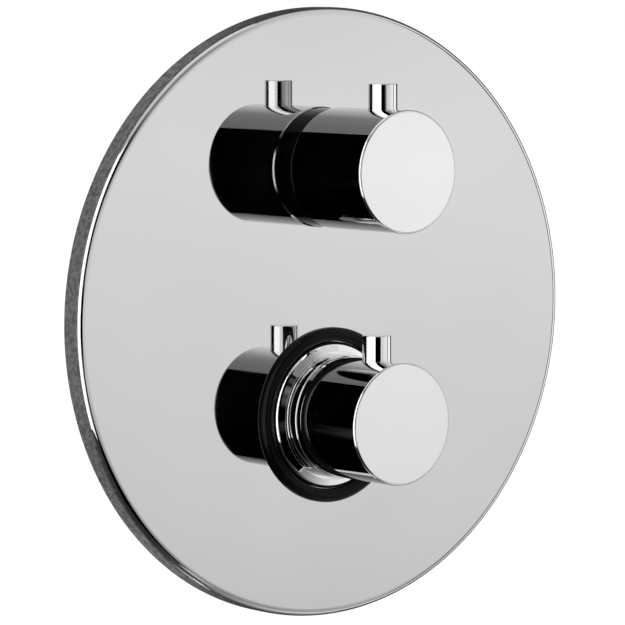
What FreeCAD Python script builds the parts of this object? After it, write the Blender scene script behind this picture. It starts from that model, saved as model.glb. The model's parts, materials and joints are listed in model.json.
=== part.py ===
import FreeCAD, Part
import math
import os

# Concealed thermostatic shower valve with a round cover plate and two round knobs.
#
# Frame: millimetres. The origin is the centre of the cover plate on the finished wall.
# +X is to the right for someone facing the wall, +Y goes into the wall, +Z is up.
# "front" is a distance from the finished wall towards the room, so it is -Y, and what is
# inside the wall has a negative front. Round pieces are turned about a line along front,
# at the height of the upper (diverter) or the lower (temperature) axis.

V = FreeCAD.Vector

# ---- cover plate ----
PLATE_R = 110.0          # outside radius
PLATE_DEPTH = 9.0        # front face, measured from the finished wall
PLATE_WALL = 2.5         # sheet thickness of the face and of the rim
PLATE_EDGE_W = 2.2       # width of the rolled edge on the face
PLATE_EDGE_H = 2.8       # drop of the rolled edge on the rim
PLATE_HOLE_GAP = 0.2     # plate hole round a sleeve
SEAL_W = 4.2             # width of the foam strip inside the rim
SEAL_RIM_GAP = 0.3       # foam strip to rim

# ---- heights of the two axes ----
UPPER_Z = 52.5
LOWER_Z = -36.8

# ---- knobs ----
KNOB_R = 21.75
KNOB_EDGE_R = 1.3        # rounding of the front edge
KNOB_BACK_CHAMFER = 0.4
UPPER_FACE = 53.3        # front of the diverter knob
LOWER_FACE = 50.2        # front of the temperature knob
UPPER_BACK = 14.2        # back rim of the diverter knob
LOWER_BACK = 19.2        # back rim of the temperature knob
HUB_LENGTH = 27.0        # solid part of a knob behind its face
CAVITY_R = 19.0          # hollow that covers the sleeve
HUB_BORE_R = 9.0
HUB_FLOOR = 9.0          # metal between the hub bore and the face
TURN_GAP = 0.3           # rotating piece to fixed piece, end to end
RUN_FIT = 0.05           # shaft in its bore, and pieces pushed together
STOP_SHORT = 0.2         # end of a pushed-in piece to the floor of its bore

# ---- lever pin of each knob ----
PIN_R = 5.2
PIN_OUT = 9.0            # how far it stands out of the knob
PIN_CHAMFER = 0.3
PIN_BEHIND_FACE = 14.3   # pin axis to knob face
PIN_SEAT_R = 19.2        # bottom of its counterbore, from the knob axis
STUD_R = 3.0
STUD_DEPTH = 7.5

# ---- grub screw of each knob ----
GRUB_BEHIND_FACE = 23.2
GRUB_R = 2.5
GRUB_SUNK = 1.8          # below the knob surface
GRUB_KEY = 2.5           # width across flats of its socket
GRUB_KEY_DEPTH = 3.0

# ---- sleeves that carry the trim ----
SLEEVE_R = 18.5
SLEEVE_WALL = 2.5
SLEEVE_END_GAP = 1.0     # sleeve end to the knob hub

# ---- black guide ring behind the diverter knob ----
GUIDE_R = 21.3
GUIDE_EDGE = 0.5

# ---- trim behind the temperature knob ----
RUBBER_OUT_R = 31.7
RUBBER_IN_R = 26.7
RUBBER_H = 2.8
RUBBER_FOOT_SHARE = 0.25 # share of that height that stands upright
FLANGE_OUT_R = 26.6      # foot of the bell flange
FLANGE_H = 3.8
FLANGE_ROUND = 3.2       # radius of the bell's shoulder, upright at the plate
FLANGE_SLOPE_DEG = 31.0  # slope of the cone above the shoulder
COLLAR_R = 22.3
COLLAR_LENGTH = 4.8
COLLAR_EDGE = 0.4
COLLAR_NECK_R = 21.1     # bottom of the groove in front of the collar

# ---- spline drive between spindle and knob ----
SPLINE_TIP_R = 4.2
SPLINE_ROOT_R = 3.6
SPLINE_TEETH = 16
SPLINE_START = 6.0
ADAPTER_END_GAP = 0.6
SPLINE_SHORT = 2.0       # spindle end behind the hub floor

# ---- temperature stop ----
STOP_IN_R = 12.6         # fixed stop on the sleeve
STOP_RING_R = 12.0
STOP_LUG_R = 15.6
STOP_LUG_DEG = 20.0
STOP_SPARE_DEG = 2.0
STOP_LENGTH = 2.5
TEMP_COLD_DEG = 150.0    # travel to the cold stop, clockwise
TEMP_HOT_DEG = 60.0      # travel to the hot stop, anticlockwise

# ---- brass body in the wall, depths are behind the finished wall ----
INLET_DEPTH = 44.0       # axis of the hot and cold connections
OUTLET_DEPTH = 40.0      # axis of the two outlets
CHAMBER_REACH = 26.0     # lower chamber's ends, to the front and back of the inlets
BODY_FRONT = INLET_DEPTH - CHAMBER_REACH
BODY_WALL = 5.0
CHAMBER_R = 17.0
CASTING_R = 3.0          # rounding of the casting's back
CASTING_CHAMFER = 0.8
LOWER_CHAMBER_END = INLET_DEPTH + CHAMBER_REACH
LEDGE_REACH = 12.0       # ledge that carries the diverter seal, behind the outlets
UPPER_LEDGE = OUTLET_DEPTH + LEDGE_REACH
PLENUM_R = 12.0
BRIDGE_R = 9.5           # pipe that joins the two chambers
BRIDGE_BORE_R = 4.5
BRIDGE_REACH = 17.5      # that pipe's axis, behind the inlets
BRIDGE_DEPTH = INLET_DEPTH + BRIDGE_REACH
UPPER_FLOOR_GAP = 1.0    # upper chamber's floor, behind that pipe's bore
UPPER_CHAMBER_END = BRIDGE_DEPTH + BRIDGE_BORE_R + UPPER_FLOOR_GAP
PORT_X = 47.0            # mouth of each side connection
PORT_BOSS_R = 13.5
PORT_HEX = 29.0          # width across flats of the hexagon at each mouth
PORT_HEX_LENGTH = 9.0
THREAD_R = 9.3           # core of a half-inch parallel pipe thread
THREAD_LENGTH = 13.0
OUTLET_BORE_R = 7.0
TOP_OUTLET_Z = 84.0
LUG_HOLE_X = 34.0
LUG_HOLE_R = 2.75
LUG_H = 16.0
LUG_Z = 8.0
LUG_REACH = 5.5          # lugs' back, behind the bridge's axis
LUG_BACK = BRIDGE_DEPTH + LUG_REACH
LUG_THICK = 5.0

# ---- check valves and strainers in the inlets ----
VALVE_BORE_R = 9.0
VALVE_BORE_END = 21.0    # distance of the bore's floor from the body axis
INLET_HOLE_R = 3.4
INLET_HOLE_OFFSET = 5.5  # hot is drilled deeper, cold nearer to the front
CAGE_GAP = 0.1
CAGE_WALL = 1.7
SEAT_T = 1.5
SEAT_HOLE_R = 5.5
POPPET_R = 6.6
POPPET_T = 1.6
STEM_R = 1.5
HUB_R = 2.8
HUB_T = 2.5
SPOKE_W = 1.4
POPPET_LIFT = 2.0
STRAINER_T = 1.0
MESH_R = 0.75
MESH_PITCH = 2.2
MESH_RINGS = 3
VALVE_SPRING_R = 3.6
VALVE_SPRING_WIRE = 0.35
VALVE_SPRING_TURNS = 3

# ---- thermostatic cartridge ----
HOUSING_GAP = 0.1
WAIST_R = 14.2
CARTRIDGE_BORE_R = 11.0
COLD_PORT = INLET_DEPTH - INLET_HOLE_OFFSET
HOT_PORT = INLET_DEPTH + INLET_HOLE_OFFSET
WAIST_HALF = 3.5
MIXED_FRONT = 13.0       # waist for the mixed water, behind the inlets
MIXED_BACK = 22.0
MIXED_WAIST = (INLET_DEPTH + MIXED_FRONT, INLET_DEPTH + MIXED_BACK)
WINDOW_R = 2.4
WINDOW_COUNT = 6
SPRING_SEAT_R = 8.0
SPRING_SEAT_T = 3.0
O_RING_R = 1.15
O_RING_FLOOR = 14.6
SHUTTLE_LENGTH = 7.0
SHUTTLE_WALL = 2.7
SHUTTLE_WEB_T = 2.0
SHUTTLE_HUB_R = 5.2
WEB_HOLE_R = 1.2
WEB_HOLE_CIRCLE_R = 6.7
WAX_R = 5.5
WAX_LENGTH = 16.0
WAX_NECK_R = 4.0
WAX_NECK_LENGTH = 9.0
WAX_PIN_R = 1.9
WAX_PIN_LENGTH = 1.5
PUSH_DISC_R = 6.3
PUSH_DISC_T = 1.2
CUP_R = 8.5
CUP_WALL = 2.0
CUP_LIP = 0.8
CUP_FLOOR_T = 1.5
SKIRT_WALL = 1.95
SKIRT_LENGTH = 9.0
SKIRT_ROOF = 0.6
RETURN_SPRING_R = 8.3
RETURN_SPRING_WIRE = 0.8
RETURN_SPRING_TURNS = 5
OVERLOAD_SPRING_R = 5.2
OVERLOAD_SPRING_WIRE = 0.45
OVERLOAD_SPRING_LENGTH = 5.5
OVERLOAD_SPRING_TURNS = 3
SPINDLE_R = 5.0
THRUST_R = 8.0
THRUST_T = 2.7

# ---- head parts that close the chambers ----
HEAD_SHANK = 6.0
HEAD_FLANGE_T = 6.0
HEAD_HEX = 36.0
HEAD_O_RING_R = 0.95
HEAD_O_RING_AT = BODY_FRONT - HEAD_FLANGE_T / 2
HOUSING_FRONT = BODY_FRONT + HEAD_SHANK + STOP_SHORT     # front of both cartridges

# ---- diverter cartridge ----
DIVERTER_WALL = 2.9
FIXED_DISC_T = 4.0
FIXED_DISC_R = 13.9
MOVING_DISC_T = 4.0
MOVING_DISC_R = 12.5
DISC_FILM = 0.05
DISC_PORT_R = 2.6
DISC_PORT_CIRCLE_R = 7.6
SEAT_SEAL_T = 2.0
SEAT_SEAL_R = 13.9
SEAT_SEAL_IN_R = 11.0
DRIVE_FLANGE_R = 11.0
DRIVE_FLANGE_T = 4.0
DIVERTER_DEG = 90.0      # travel to each side
DIVERTER_LUG_R = 13.4
DIVERTER_LUG_DEG = 24.0
DIVERTER_STOP_IN_R = 9.0


# ---- helpers ----
def turned(points, arcs=()):
    """Solid of revolution about the Z axis. points are (radius, z) corners in order, and arcs maps
    the index of a corner to the (radius, z) point that the arc to the next corner passes through."""
    arcs = dict(arcs)
    edges = []
    for i, (r, z) in enumerate(points):
        r2, z2 = points[(i + 1) % len(points)]
        if i in arcs:
            rm, zm = arcs[i]
            edges.append(Part.Arc(V(r, 0, z), V(rm, 0, zm), V(r2, 0, z2)).toShape())
        else:
            edges.append(Part.LineSegment(V(r, 0, z), V(r2, 0, z2)).toShape())
    return Part.Face(Part.Wire(edges)).revolve(V(0, 0, 0), V(0, 0, 1), 360)


def ring(r_out, r_in, z0, z1):
    """Plain tube from z0 to z1, or a disc where r_in is 0."""
    solid = Part.makeCylinder(r_out, z1 - z0, V(0, 0, z0))
    return solid.cut(Part.makeCylinder(r_in, z1 - z0, V(0, 0, z0))) if r_in else solid


def hexagon(across_flats, z0, z1):
    """Hexagonal prism from z0 to z1."""
    return prism([(across_flats / math.sqrt(3), 60 * i) for i in range(6)], z0, z1)


def nut(across_flats, z0, z1):
    """Hexagon whose corners are turned off at both ends, at 30 degrees as on a nut."""
    flat_r = across_flats / 2
    corner_r = across_flats / math.sqrt(3)
    slope = (corner_r - flat_r) * math.tan(math.radians(30))
    profile = [(0, z0), (flat_r, z0), (corner_r, z0 + slope), (corner_r, z1 - slope), (flat_r, z1), (0, z1)]
    return hexagon(across_flats, z0, z1).common(turned(profile))


def prism(corners, z0, z1):
    """Prism over a polygon of (radius, degrees) corners."""
    points = [V(r * math.cos(math.radians(a)), r * math.sin(math.radians(a)), z0) for r, a in corners]
    face = Part.Face(Part.makePolygon(points + points[:1]))
    return face.extrude(V(0, 0, z1 - z0))


def spline_bar(z0, z1, grow=0.0):
    """Splined bar; grow widens it for the mating hole."""
    step = 360.0 / SPLINE_TEETH
    corners = []
    for i in range(SPLINE_TEETH):
        corners += [(SPLINE_TIP_R + grow, i * step), (SPLINE_ROOT_R + grow, (i + 0.5) * step)]
    return prism(corners, z0, z1)


def sector(r_out, r_in, z0, z1, middle_deg, width_deg):
    """Part of a tube, width_deg wide about middle_deg."""
    start = middle_deg - width_deg / 2
    outer = Part.makeCylinder(r_out, z1 - z0, V(0, 0, z0), V(0, 0, 1), width_deg)
    inner = Part.makeCylinder(r_in, z1 - z0, V(0, 0, z0))
    solid = outer.cut(inner)
    solid.rotate(V(0, 0, 0), V(0, 0, 1), start)
    return solid


def torus(r_mid, r_wire, z):
    return Part.makeTorus(r_mid, r_wire, V(0, 0, z))


def radial(shape, angle_deg, z):
    """Turns a shape built along +Z so that it points outwards at angle_deg, at height z."""
    out = shape.copy()
    out.rotate(V(0, 0, 0), V(0, 1, 0), 90)
    out.rotate(V(0, 0, 0), V(0, 0, 1), angle_deg)
    out.translate(V(0, 0, z))
    return out


def coil(r_mid, r_wire, turns, z0, z1):
    """Spring wire between two flat ends: quarter-turn arcs joined into one path, swept as one tube.
    Prints the least gap between neighbouring turns."""
    low, high = z0 + r_wire, z1 - r_wire
    quarters = 4 * turns

    def at(k):
        a = math.pi / 2 * k
        return V(r_mid * math.cos(a), r_mid * math.sin(a), low + (high - low) * k / quarters)

    path = Part.Wire([Part.Arc(at(k), at(k + 0.5), at(k + 1)).toShape() for k in range(quarters)])
    start = Part.Wire([Part.Circle(at(0), path.Edges[0].tangentAt(0), r_wire).toShape()])
    pitch = (high - low) / turns
    print("spring of radius", r_mid, "gap between turns", round(pitch - 2 * r_wire, 2))
    return path.makePipeShell([start], True, False)


def at_axis(shape, height):
    """Turns a piece built along +Z so that +Z points out of the wall, and lifts it to its axis."""
    out = shape.copy()
    out.rotate(V(0, 0, 0), V(1, 0, 0), 90)
    out.translate(V(0, 0, height))
    return out


def at_inlet(shape, side):
    """Places a piece built along +Z in an inlet: its Z is the distance from the body axis.
    side is -1 for hot, on the left, and 1 for cold."""
    out = shape.copy()
    out.rotate(V(0, 0, 0), V(0, 1, 0), 90 * side)
    out.translate(V(0, INLET_DEPTH, LOWER_Z))
    return out


def save(name, shape):
    solid = shape.removeSplitter() if shape.ShapeType != "Compound" or len(shape.Solids) == 1 else shape
    if len(solid.Solids) == 1:
        solid = solid.Solids[0]
    if not solid.isValid():
        print("NOT VALID", name)
    solid.exportStep("parts/" + name + ".step")
    box = solid.BoundBox
    print(f"{name:28s} solids {len(solid.Solids)} volume {solid.Volume:10.1f}",
          f"x {box.XMin:.1f}..{box.XMax:.1f} y {box.YMin:.1f}..{box.YMax:.1f} "
          f"z {box.ZMin:.1f}..{box.ZMax:.1f}")


# ---- cover plate and its foam strip ----
def wall_plate():
    inner_r = PLATE_R - PLATE_WALL
    flat_r = PLATE_R - PLATE_EDGE_W
    edge_z = PLATE_DEPTH - PLATE_EDGE_H
    edge_mid = (flat_r + PLATE_EDGE_W * math.sin(math.radians(45)),
                edge_z + PLATE_EDGE_H * math.cos(math.radians(45)))
    shell = turned(
        [(0, PLATE_DEPTH - PLATE_WALL), (inner_r, PLATE_DEPTH - PLATE_WALL), (inner_r, 0), (PLATE_R, 0),
         (PLATE_R, edge_z), (flat_r, PLATE_DEPTH), (0, PLATE_DEPTH)],
        {4: edge_mid})
    plate = at_axis(shell, 0)
    for height in (UPPER_Z, LOWER_Z):
        plate = plate.cut(at_axis(ring(SLEEVE_R + PLATE_HOLE_GAP, 0, 0, PLATE_DEPTH), height))
    return plate


def plate_seal():
    r_out = PLATE_R - PLATE_WALL - SEAL_RIM_GAP
    return at_axis(ring(r_out, r_out - SEAL_W, 0, PLATE_DEPTH - PLATE_WALL), 0)


# ---- sleeves, guide ring, rubber ring, bell flange and collar ----
def sleeve_tube(knob_face):
    end = knob_face - HUB_LENGTH - SLEEVE_END_GAP
    return ring(SLEEVE_R, SLEEVE_R - SLEEVE_WALL, -(BODY_FRONT - HEAD_FLANGE_T), end), end


def upper_sleeve():
    tube, _ = sleeve_tube(UPPER_FACE)
    return at_axis(tube, UPPER_Z)


def lower_sleeve():
    """Sleeve with the fixed temperature stop inside its mouth. The stop fills the part of the circle
    that the moving lug, which points straight down at rest, doesn't sweep."""
    tube, end = sleeve_tube(LOWER_FACE)
    width = 360 - TEMP_COLD_DEG - TEMP_HOT_DEG - STOP_LUG_DEG - 2 * STOP_SPARE_DEG
    middle = -90 + TEMP_HOT_DEG + STOP_LUG_DEG / 2 + STOP_SPARE_DEG + width / 2
    stop = sector(SLEEVE_R - SLEEVE_WALL / 2, STOP_IN_R, end - STOP_LENGTH, end, middle, width)
    return at_axis(tube.fuse(stop), LOWER_Z)


def upper_guide_ring():
    r_in = SLEEVE_R + RUN_FIT
    z1 = UPPER_BACK - TURN_GAP
    profile = [(r_in, PLATE_DEPTH), (GUIDE_R, PLATE_DEPTH), (GUIDE_R, z1 - GUIDE_EDGE),
               (GUIDE_R - GUIDE_EDGE, z1),
               (r_in, z1)]
    return at_axis(turned(profile), UPPER_Z)


def rubber_ring():
    """Rubber ring that lies on the plate, rounded on top."""
    middle = (RUBBER_IN_R + RUBBER_OUT_R) / 2
    foot = RUBBER_H * RUBBER_FOOT_SHARE
    half = (RUBBER_OUT_R - RUBBER_IN_R) / 2
    shoulder = math.sqrt(0.5)
    top = PLATE_DEPTH + RUBBER_H
    base = PLATE_DEPTH + foot
    rise = RUBBER_H - foot
    profile = [(RUBBER_IN_R, PLATE_DEPTH), (RUBBER_OUT_R, PLATE_DEPTH), (RUBBER_OUT_R, base), (middle, top),
               (RUBBER_IN_R, base)]
    arcs = {2: (middle + half * shoulder, base + rise * shoulder),
            3: (middle - half * shoulder, base + rise * shoulder)}
    return at_axis(turned(profile, arcs), LOWER_Z)


def bell_flange():
    """Flange with a bell-shaped front: it stands upright on the plate, and its shoulder runs into a cone."""
    top = PLATE_DEPTH + FLANGE_H
    slope, half = math.radians(FLANGE_SLOPE_DEG), math.radians((90 + FLANGE_SLOPE_DEG) / 2)
    centre_r = FLANGE_OUT_R - FLANGE_ROUND
    middle = (centre_r + FLANGE_ROUND * math.sin(half), PLATE_DEPTH + FLANGE_ROUND * math.cos(half))
    shoulder = (centre_r + FLANGE_ROUND * math.sin(slope), PLATE_DEPTH + FLANGE_ROUND * math.cos(slope))
    top_r = shoulder[0] - (top - shoulder[1]) / math.tan(slope)
    r_in = SLEEVE_R + RUN_FIT
    profile = [(r_in, PLATE_DEPTH), (FLANGE_OUT_R, PLATE_DEPTH), shoulder, (top_r, top), (r_in, top)]
    return at_axis(turned(profile, {1: middle}), LOWER_Z)


def grooved_collar():
    z0 = PLATE_DEPTH + FLANGE_H
    z1 = z0 + COLLAR_LENGTH
    r_in = SLEEVE_R + RUN_FIT
    profile = [(r_in, z0), (COLLAR_R - COLLAR_EDGE, z0), (COLLAR_R, z0 + COLLAR_EDGE),
               (COLLAR_R, z1 - COLLAR_EDGE),
               (COLLAR_R - COLLAR_EDGE, z1), (COLLAR_NECK_R, z1), (COLLAR_NECK_R, LOWER_BACK - TURN_GAP),
               (r_in, LOWER_BACK - TURN_GAP)]
    return at_axis(turned(profile), LOWER_Z)


# ---- knobs with their pins, grub screws and adapters ----
def knob(face, back, height):
    hub = face - HUB_LENGTH
    floor = face - HUB_FLOOR
    soft = KNOB_EDGE_R * (1 - math.sqrt(0.5))
    profile = [(CAVITY_R, back), (KNOB_R - KNOB_BACK_CHAMFER, back), (KNOB_R, back + KNOB_BACK_CHAMFER),
               (KNOB_R, face - KNOB_EDGE_R), (KNOB_R - KNOB_EDGE_R, face), (0, face), (0, floor),
               (HUB_BORE_R, floor), (HUB_BORE_R, hub), (CAVITY_R, hub)]
    body = turned(profile, {3: (KNOB_R - soft, face - soft)})
    pin_z = face - PIN_BEHIND_FACE
    seat = ring(PIN_R + RUN_FIT, 0, PIN_SEAT_R, KNOB_R)
    stud = ring(STUD_R, 0, PIN_SEAT_R - STUD_DEPTH, PIN_SEAT_R)
    body = body.cut(radial(seat.fuse(stud), 90, pin_z))
    grub = ring(GRUB_R + RUN_FIT, 0, 0, KNOB_R)
    body = body.cut(radial(grub, -90, face - GRUB_BEHIND_FACE))
    return at_axis(body, height)


def lever_pin(face, height):
    end = KNOB_R + PIN_OUT
    stud_r = STUD_R - RUN_FIT
    stud_end = PIN_SEAT_R - STUD_DEPTH + TURN_GAP
    profile = [(0, stud_end), (stud_r, stud_end), (stud_r, PIN_SEAT_R), (PIN_R, PIN_SEAT_R),
               (PIN_R, end - PIN_CHAMFER), (PIN_R - PIN_CHAMFER, end), (0, end)]
    return at_axis(radial(turned(profile), 90, face - PIN_BEHIND_FACE), height)


def grub_screw(face, height):
    end = KNOB_R - GRUB_SUNK
    screw = ring(GRUB_R, 0, HUB_BORE_R, end).cut(hexagon(GRUB_KEY, end - GRUB_KEY_DEPTH, end))
    return at_axis(radial(screw, -90, face - GRUB_BEHIND_FACE), height)


def spline_adapter(start, face, height):
    end = face - HUB_FLOOR - ADAPTER_END_GAP
    body = ring(HUB_BORE_R - RUN_FIT, 0, start, end).cut(spline_bar(start, end, RUN_FIT))
    return at_axis(body, height)


def temperature_stop_ring():
    """Ring on the adapter with one lug, straight down at rest, that meets the fixed stop."""
    z1 = LOWER_FACE - HUB_LENGTH - TURN_GAP
    z0 = z1 - STOP_LENGTH
    body = ring(STOP_RING_R, HUB_BORE_R, z0, z1)
    lug = sector(STOP_LUG_R, STOP_RING_R - 1, z0, z1, -90, STOP_LUG_DEG)
    return at_axis(body.fuse(lug), LOWER_Z)


# ---- brass body ----
def chamber_casting(end):
    """Round casting from the front of the body to the given depth, rounded at its back."""
    outer = CHAMBER_R + BODY_WALL
    soft = CASTING_R * (1 - math.sqrt(0.5))
    profile = [(0, -end), (outer - CASTING_R, -end), (outer, -end + CASTING_R),
               (outer, -BODY_FRONT - CASTING_CHAMFER),
               (outer - CASTING_CHAMFER, -BODY_FRONT), (0, -BODY_FRONT)]
    return turned(profile, {1: (outer - soft, -end + soft)})


def lug_bar():
    """Flat bar across the body with round ends that hold the two screw holes."""
    bar = Part.makeBox(2 * LUG_HOLE_X, LUG_THICK, LUG_H,
                       V(-LUG_HOLE_X, LUG_BACK - LUG_THICK, LUG_Z - LUG_H / 2))
    ends = [Part.makeCylinder(LUG_H / 2, LUG_THICK, V(side * LUG_HOLE_X, LUG_BACK - LUG_THICK, LUG_Z),
                              V(0, 1, 0))
            for side in (-1, 1)]
    return bar.fuse(ends)


def port_boss(length, height, turn_axis, turn_deg, depth):
    boss = ring(PORT_BOSS_R, 0, 0, length).fuse(nut(PORT_HEX, length - PORT_HEX_LENGTH, length))
    boss.rotate(V(0, 0, 0), turn_axis, turn_deg)
    boss.translate(V(0, depth, height))
    return boss


def port_bore(length, bore_r, turn_axis, turn_deg, depth, height, bore_from):
    bore = ring(THREAD_R, 0, length - THREAD_LENGTH, length)
    bore = bore.fuse(ring(bore_r, 0, bore_from, length - THREAD_LENGTH))
    bore.rotate(V(0, 0, 0), turn_axis, turn_deg)
    bore.translate(V(0, depth, height))
    return bore


def valve_body():
    lower = at_axis(chamber_casting(LOWER_CHAMBER_END + BODY_WALL), LOWER_Z)
    upper = at_axis(chamber_casting(UPPER_CHAMBER_END + BODY_WALL), UPPER_Z)
    bridge = Part.makeCylinder(BRIDGE_R, UPPER_Z - LOWER_Z, V(0, BRIDGE_DEPTH, LOWER_Z))
    body = lower.fuse([upper, bridge, lug_bar()])
    top_length = TOP_OUTLET_Z - UPPER_Z
    body = body.fuse([
        port_boss(PORT_X, LOWER_Z, V(0, 1, 0), -90, INLET_DEPTH),
        port_boss(PORT_X, LOWER_Z, V(0, 1, 0), 90, INLET_DEPTH),
        port_boss(PORT_X, UPPER_Z, V(0, 1, 0), 90, OUTLET_DEPTH),
        port_boss(top_length, UPPER_Z, V(0, 1, 0), 0, OUTLET_DEPTH)])
    cuts = [
        at_axis(ring(CHAMBER_R, 0, -LOWER_CHAMBER_END, -BODY_FRONT), LOWER_Z),
        at_axis(ring(CHAMBER_R, 0, -UPPER_LEDGE, -BODY_FRONT), UPPER_Z),
        at_axis(ring(PLENUM_R, 0, -UPPER_CHAMBER_END, -UPPER_LEDGE), UPPER_Z),
        Part.makeCylinder(BRIDGE_BORE_R, UPPER_Z - LOWER_Z, V(0, BRIDGE_DEPTH, LOWER_Z)),
        port_bore(PORT_X, VALVE_BORE_R, V(0, 1, 0), -90, INLET_DEPTH, LOWER_Z, VALVE_BORE_END),
        port_bore(PORT_X, VALVE_BORE_R, V(0, 1, 0), 90, INLET_DEPTH, LOWER_Z, VALVE_BORE_END),
        port_bore(PORT_X, OUTLET_BORE_R, V(0, 1, 0), 90, OUTLET_DEPTH, UPPER_Z, 0),
        port_bore(top_length, OUTLET_BORE_R, V(0, 1, 0), 0, OUTLET_DEPTH, UPPER_Z, 0)]
    for side, depth in ((-1, HOT_PORT), (1, COLD_PORT)):
        cuts.append(Part.makeCylinder(INLET_HOLE_R, VALVE_BORE_END, V(0, depth, LOWER_Z), V(side, 0, 0)))
    for side in (-1, 1):
        cuts.append(Part.makeCylinder(LUG_HOLE_R, LUG_THICK,
                                      V(side * LUG_HOLE_X, LUG_BACK - LUG_THICK, LUG_Z),
                                      V(0, 1, 0)))
    return body.cut(cuts)


# ---- head parts, spindles and their seals ----
def head_part(height):
    """Brass head that closes a chamber: shank in the bore, hexagon on the face, nose for the sleeve."""
    nose_r = SLEEVE_R - SLEEVE_WALL - RUN_FIT
    bore_r = SPINDLE_R + RUN_FIT
    groove_r = bore_r + 2 * HEAD_O_RING_R
    half = HEAD_O_RING_R + RUN_FIT
    flange_z = -(BODY_FRONT - HEAD_FLANGE_T)
    body = ring(CHAMBER_R - RUN_FIT, 0, -(BODY_FRONT + HEAD_SHANK), -BODY_FRONT)
    body = body.fuse(nut(HEAD_HEX, -BODY_FRONT, flange_z)).fuse(ring(nose_r, 0, flange_z, 0))
    body = body.cut(ring(bore_r, 0, -(BODY_FRONT + HEAD_SHANK), 0))
    body = body.cut(ring(groove_r, 0, -HEAD_O_RING_AT - half, -HEAD_O_RING_AT + half))
    return at_axis(body, height)


def spindle_o_rings():
    seal = torus(SPINDLE_R + RUN_FIT + HEAD_O_RING_R, HEAD_O_RING_R - RUN_FIT / 2, -HEAD_O_RING_AT)
    return Part.makeCompound([at_axis(seal, UPPER_Z), at_axis(seal, LOWER_Z)])


def thrust_levels():
    front = -(BODY_FRONT + HEAD_SHANK + TURN_GAP)
    return front - THRUST_T, front


def spindle_stem(face, inner_end):
    """Round stem from inner_end with a thrust collar behind the head part, and the splined end."""
    stem = ring(SPINDLE_R, 0, inner_end, SPLINE_START)
    stem = stem.fuse(ring(THRUST_R, 0, *thrust_levels()))
    return stem.fuse(spline_bar(SPLINE_START, face - HUB_FLOOR - SPLINE_SHORT))


def temperature_spindle():
    """Spindle with a threaded skirt at its inner end that screws the cup in and out."""
    skirt_in = CUP_R + RUN_FIT
    top = thrust_levels()[0]
    roof = top - SKIRT_ROOF
    skirt = ring(skirt_in + SKIRT_WALL, 0, top - SKIRT_LENGTH, top)
    skirt = skirt.cut(ring(skirt_in, 0, top - SKIRT_LENGTH, roof))
    return at_axis(spindle_stem(LOWER_FACE, roof).fuse(skirt), LOWER_Z)


# ---- thermostatic cartridge ----
def thermostat_housing():
    """Plastic cartridge with O-ring lands and waists at the hot, cold and mixed levels."""
    land_r = CHAMBER_R - HOUSING_GAP
    back = -(LOWER_CHAMBER_END - STOP_SHORT)
    body = ring(land_r, 0, back, -HOUSING_FRONT)
    cold = (-COLD_PORT - WAIST_HALF, -COLD_PORT + WAIST_HALF)
    hot = (-HOT_PORT - WAIST_HALF, -HOT_PORT + WAIST_HALF)
    mixed = (-MIXED_WAIST[1], -MIXED_WAIST[0])
    for z0, z1 in (cold, hot, mixed):
        body = body.cut(ring(land_r, WAIST_R, z0, z1))
    body = body.cut(ring(CARTRIDGE_BORE_R, 0, back + SPRING_SEAT_T, -HOUSING_FRONT))
    body = body.cut(ring(SPRING_SEAT_R, 0, back, back + SPRING_SEAT_T))
    for z in o_ring_levels():
        body = body.cut(ring(land_r, O_RING_FLOOR, z - O_RING_R - RUN_FIT, z + O_RING_R + RUN_FIT))
    for z0, z1 in (cold, hot, mixed):
        for i in range(WINDOW_COUNT):
            window = ring(WINDOW_R, 0, CARTRIDGE_BORE_R - 1, land_r)
            body = body.cut(radial(window, i * 360.0 / WINDOW_COUNT, (z0 + z1) / 2))
    return at_axis(body, LOWER_Z)


def o_ring_levels():
    between_ports = -(COLD_PORT + HOT_PORT) / 2
    behind_hot = -(HOT_PORT + WAIST_HALF + MIXED_WAIST[0]) / 2
    front = -(HOUSING_FRONT + COLD_PORT - WAIST_HALF) / 2
    return [between_ports, behind_hot, front]


def thermostat_o_rings():
    mid = O_RING_FLOOR + RUN_FIT + O_RING_R
    return Part.makeCompound([at_axis(torus(mid, O_RING_R, z), LOWER_Z) for z in o_ring_levels()])


def shuttle_ends():
    middle = -(COLD_PORT + HOT_PORT) / 2
    return middle - SHUTTLE_LENGTH / 2, middle + SHUTTLE_LENGTH / 2


def regulating_shuttle():
    """Ring that slides between the hot and the cold windows, on a spider with a hub."""
    z0, z1 = shuttle_ends()
    r_out = CARTRIDGE_BORE_R - RUN_FIT
    body = ring(r_out, r_out - SHUTTLE_WALL, z0, z1)
    web = ring(r_out - SHUTTLE_WALL / 2, 0, z0, z0 + SHUTTLE_WEB_T)
    for i in range(WINDOW_COUNT):
        hole = ring(WEB_HOLE_R, 0, z0, z0 + SHUTTLE_WEB_T)
        hole.translate(V(WEB_HOLE_CIRCLE_R, 0, 0))
        hole.rotate(V(0, 0, 0), V(0, 0, 1), i * 360.0 / WINDOW_COUNT)
        web = web.cut(hole)
    body = body.fuse(web).fuse(ring(SHUTTLE_HUB_R, 0, z0, z1 - 1))
    return at_axis(body.cut(ring(WAX_NECK_R + RUN_FIT, 0, z0, z1)), LOWER_Z)


def wax_levels():
    back = shuttle_ends()[0] - WAX_LENGTH
    shoulder = shuttle_ends()[0]
    neck = shoulder + WAX_NECK_LENGTH
    return back, shoulder, neck


def wax_element():
    """Wax cylinder in the mixed water, with its neck through the shuttle and its piston pin in front."""
    back, shoulder, neck = wax_levels()
    tip = neck + WAX_PIN_LENGTH
    profile = [(0, back), (WAX_R - 1, back), (WAX_R, back + 1), (WAX_R, shoulder), (WAX_NECK_R, shoulder),
               (WAX_NECK_R, neck), (WAX_PIN_R, neck), (WAX_PIN_R, tip), (0, tip)]
    return at_axis(turned(profile), LOWER_Z)


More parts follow.
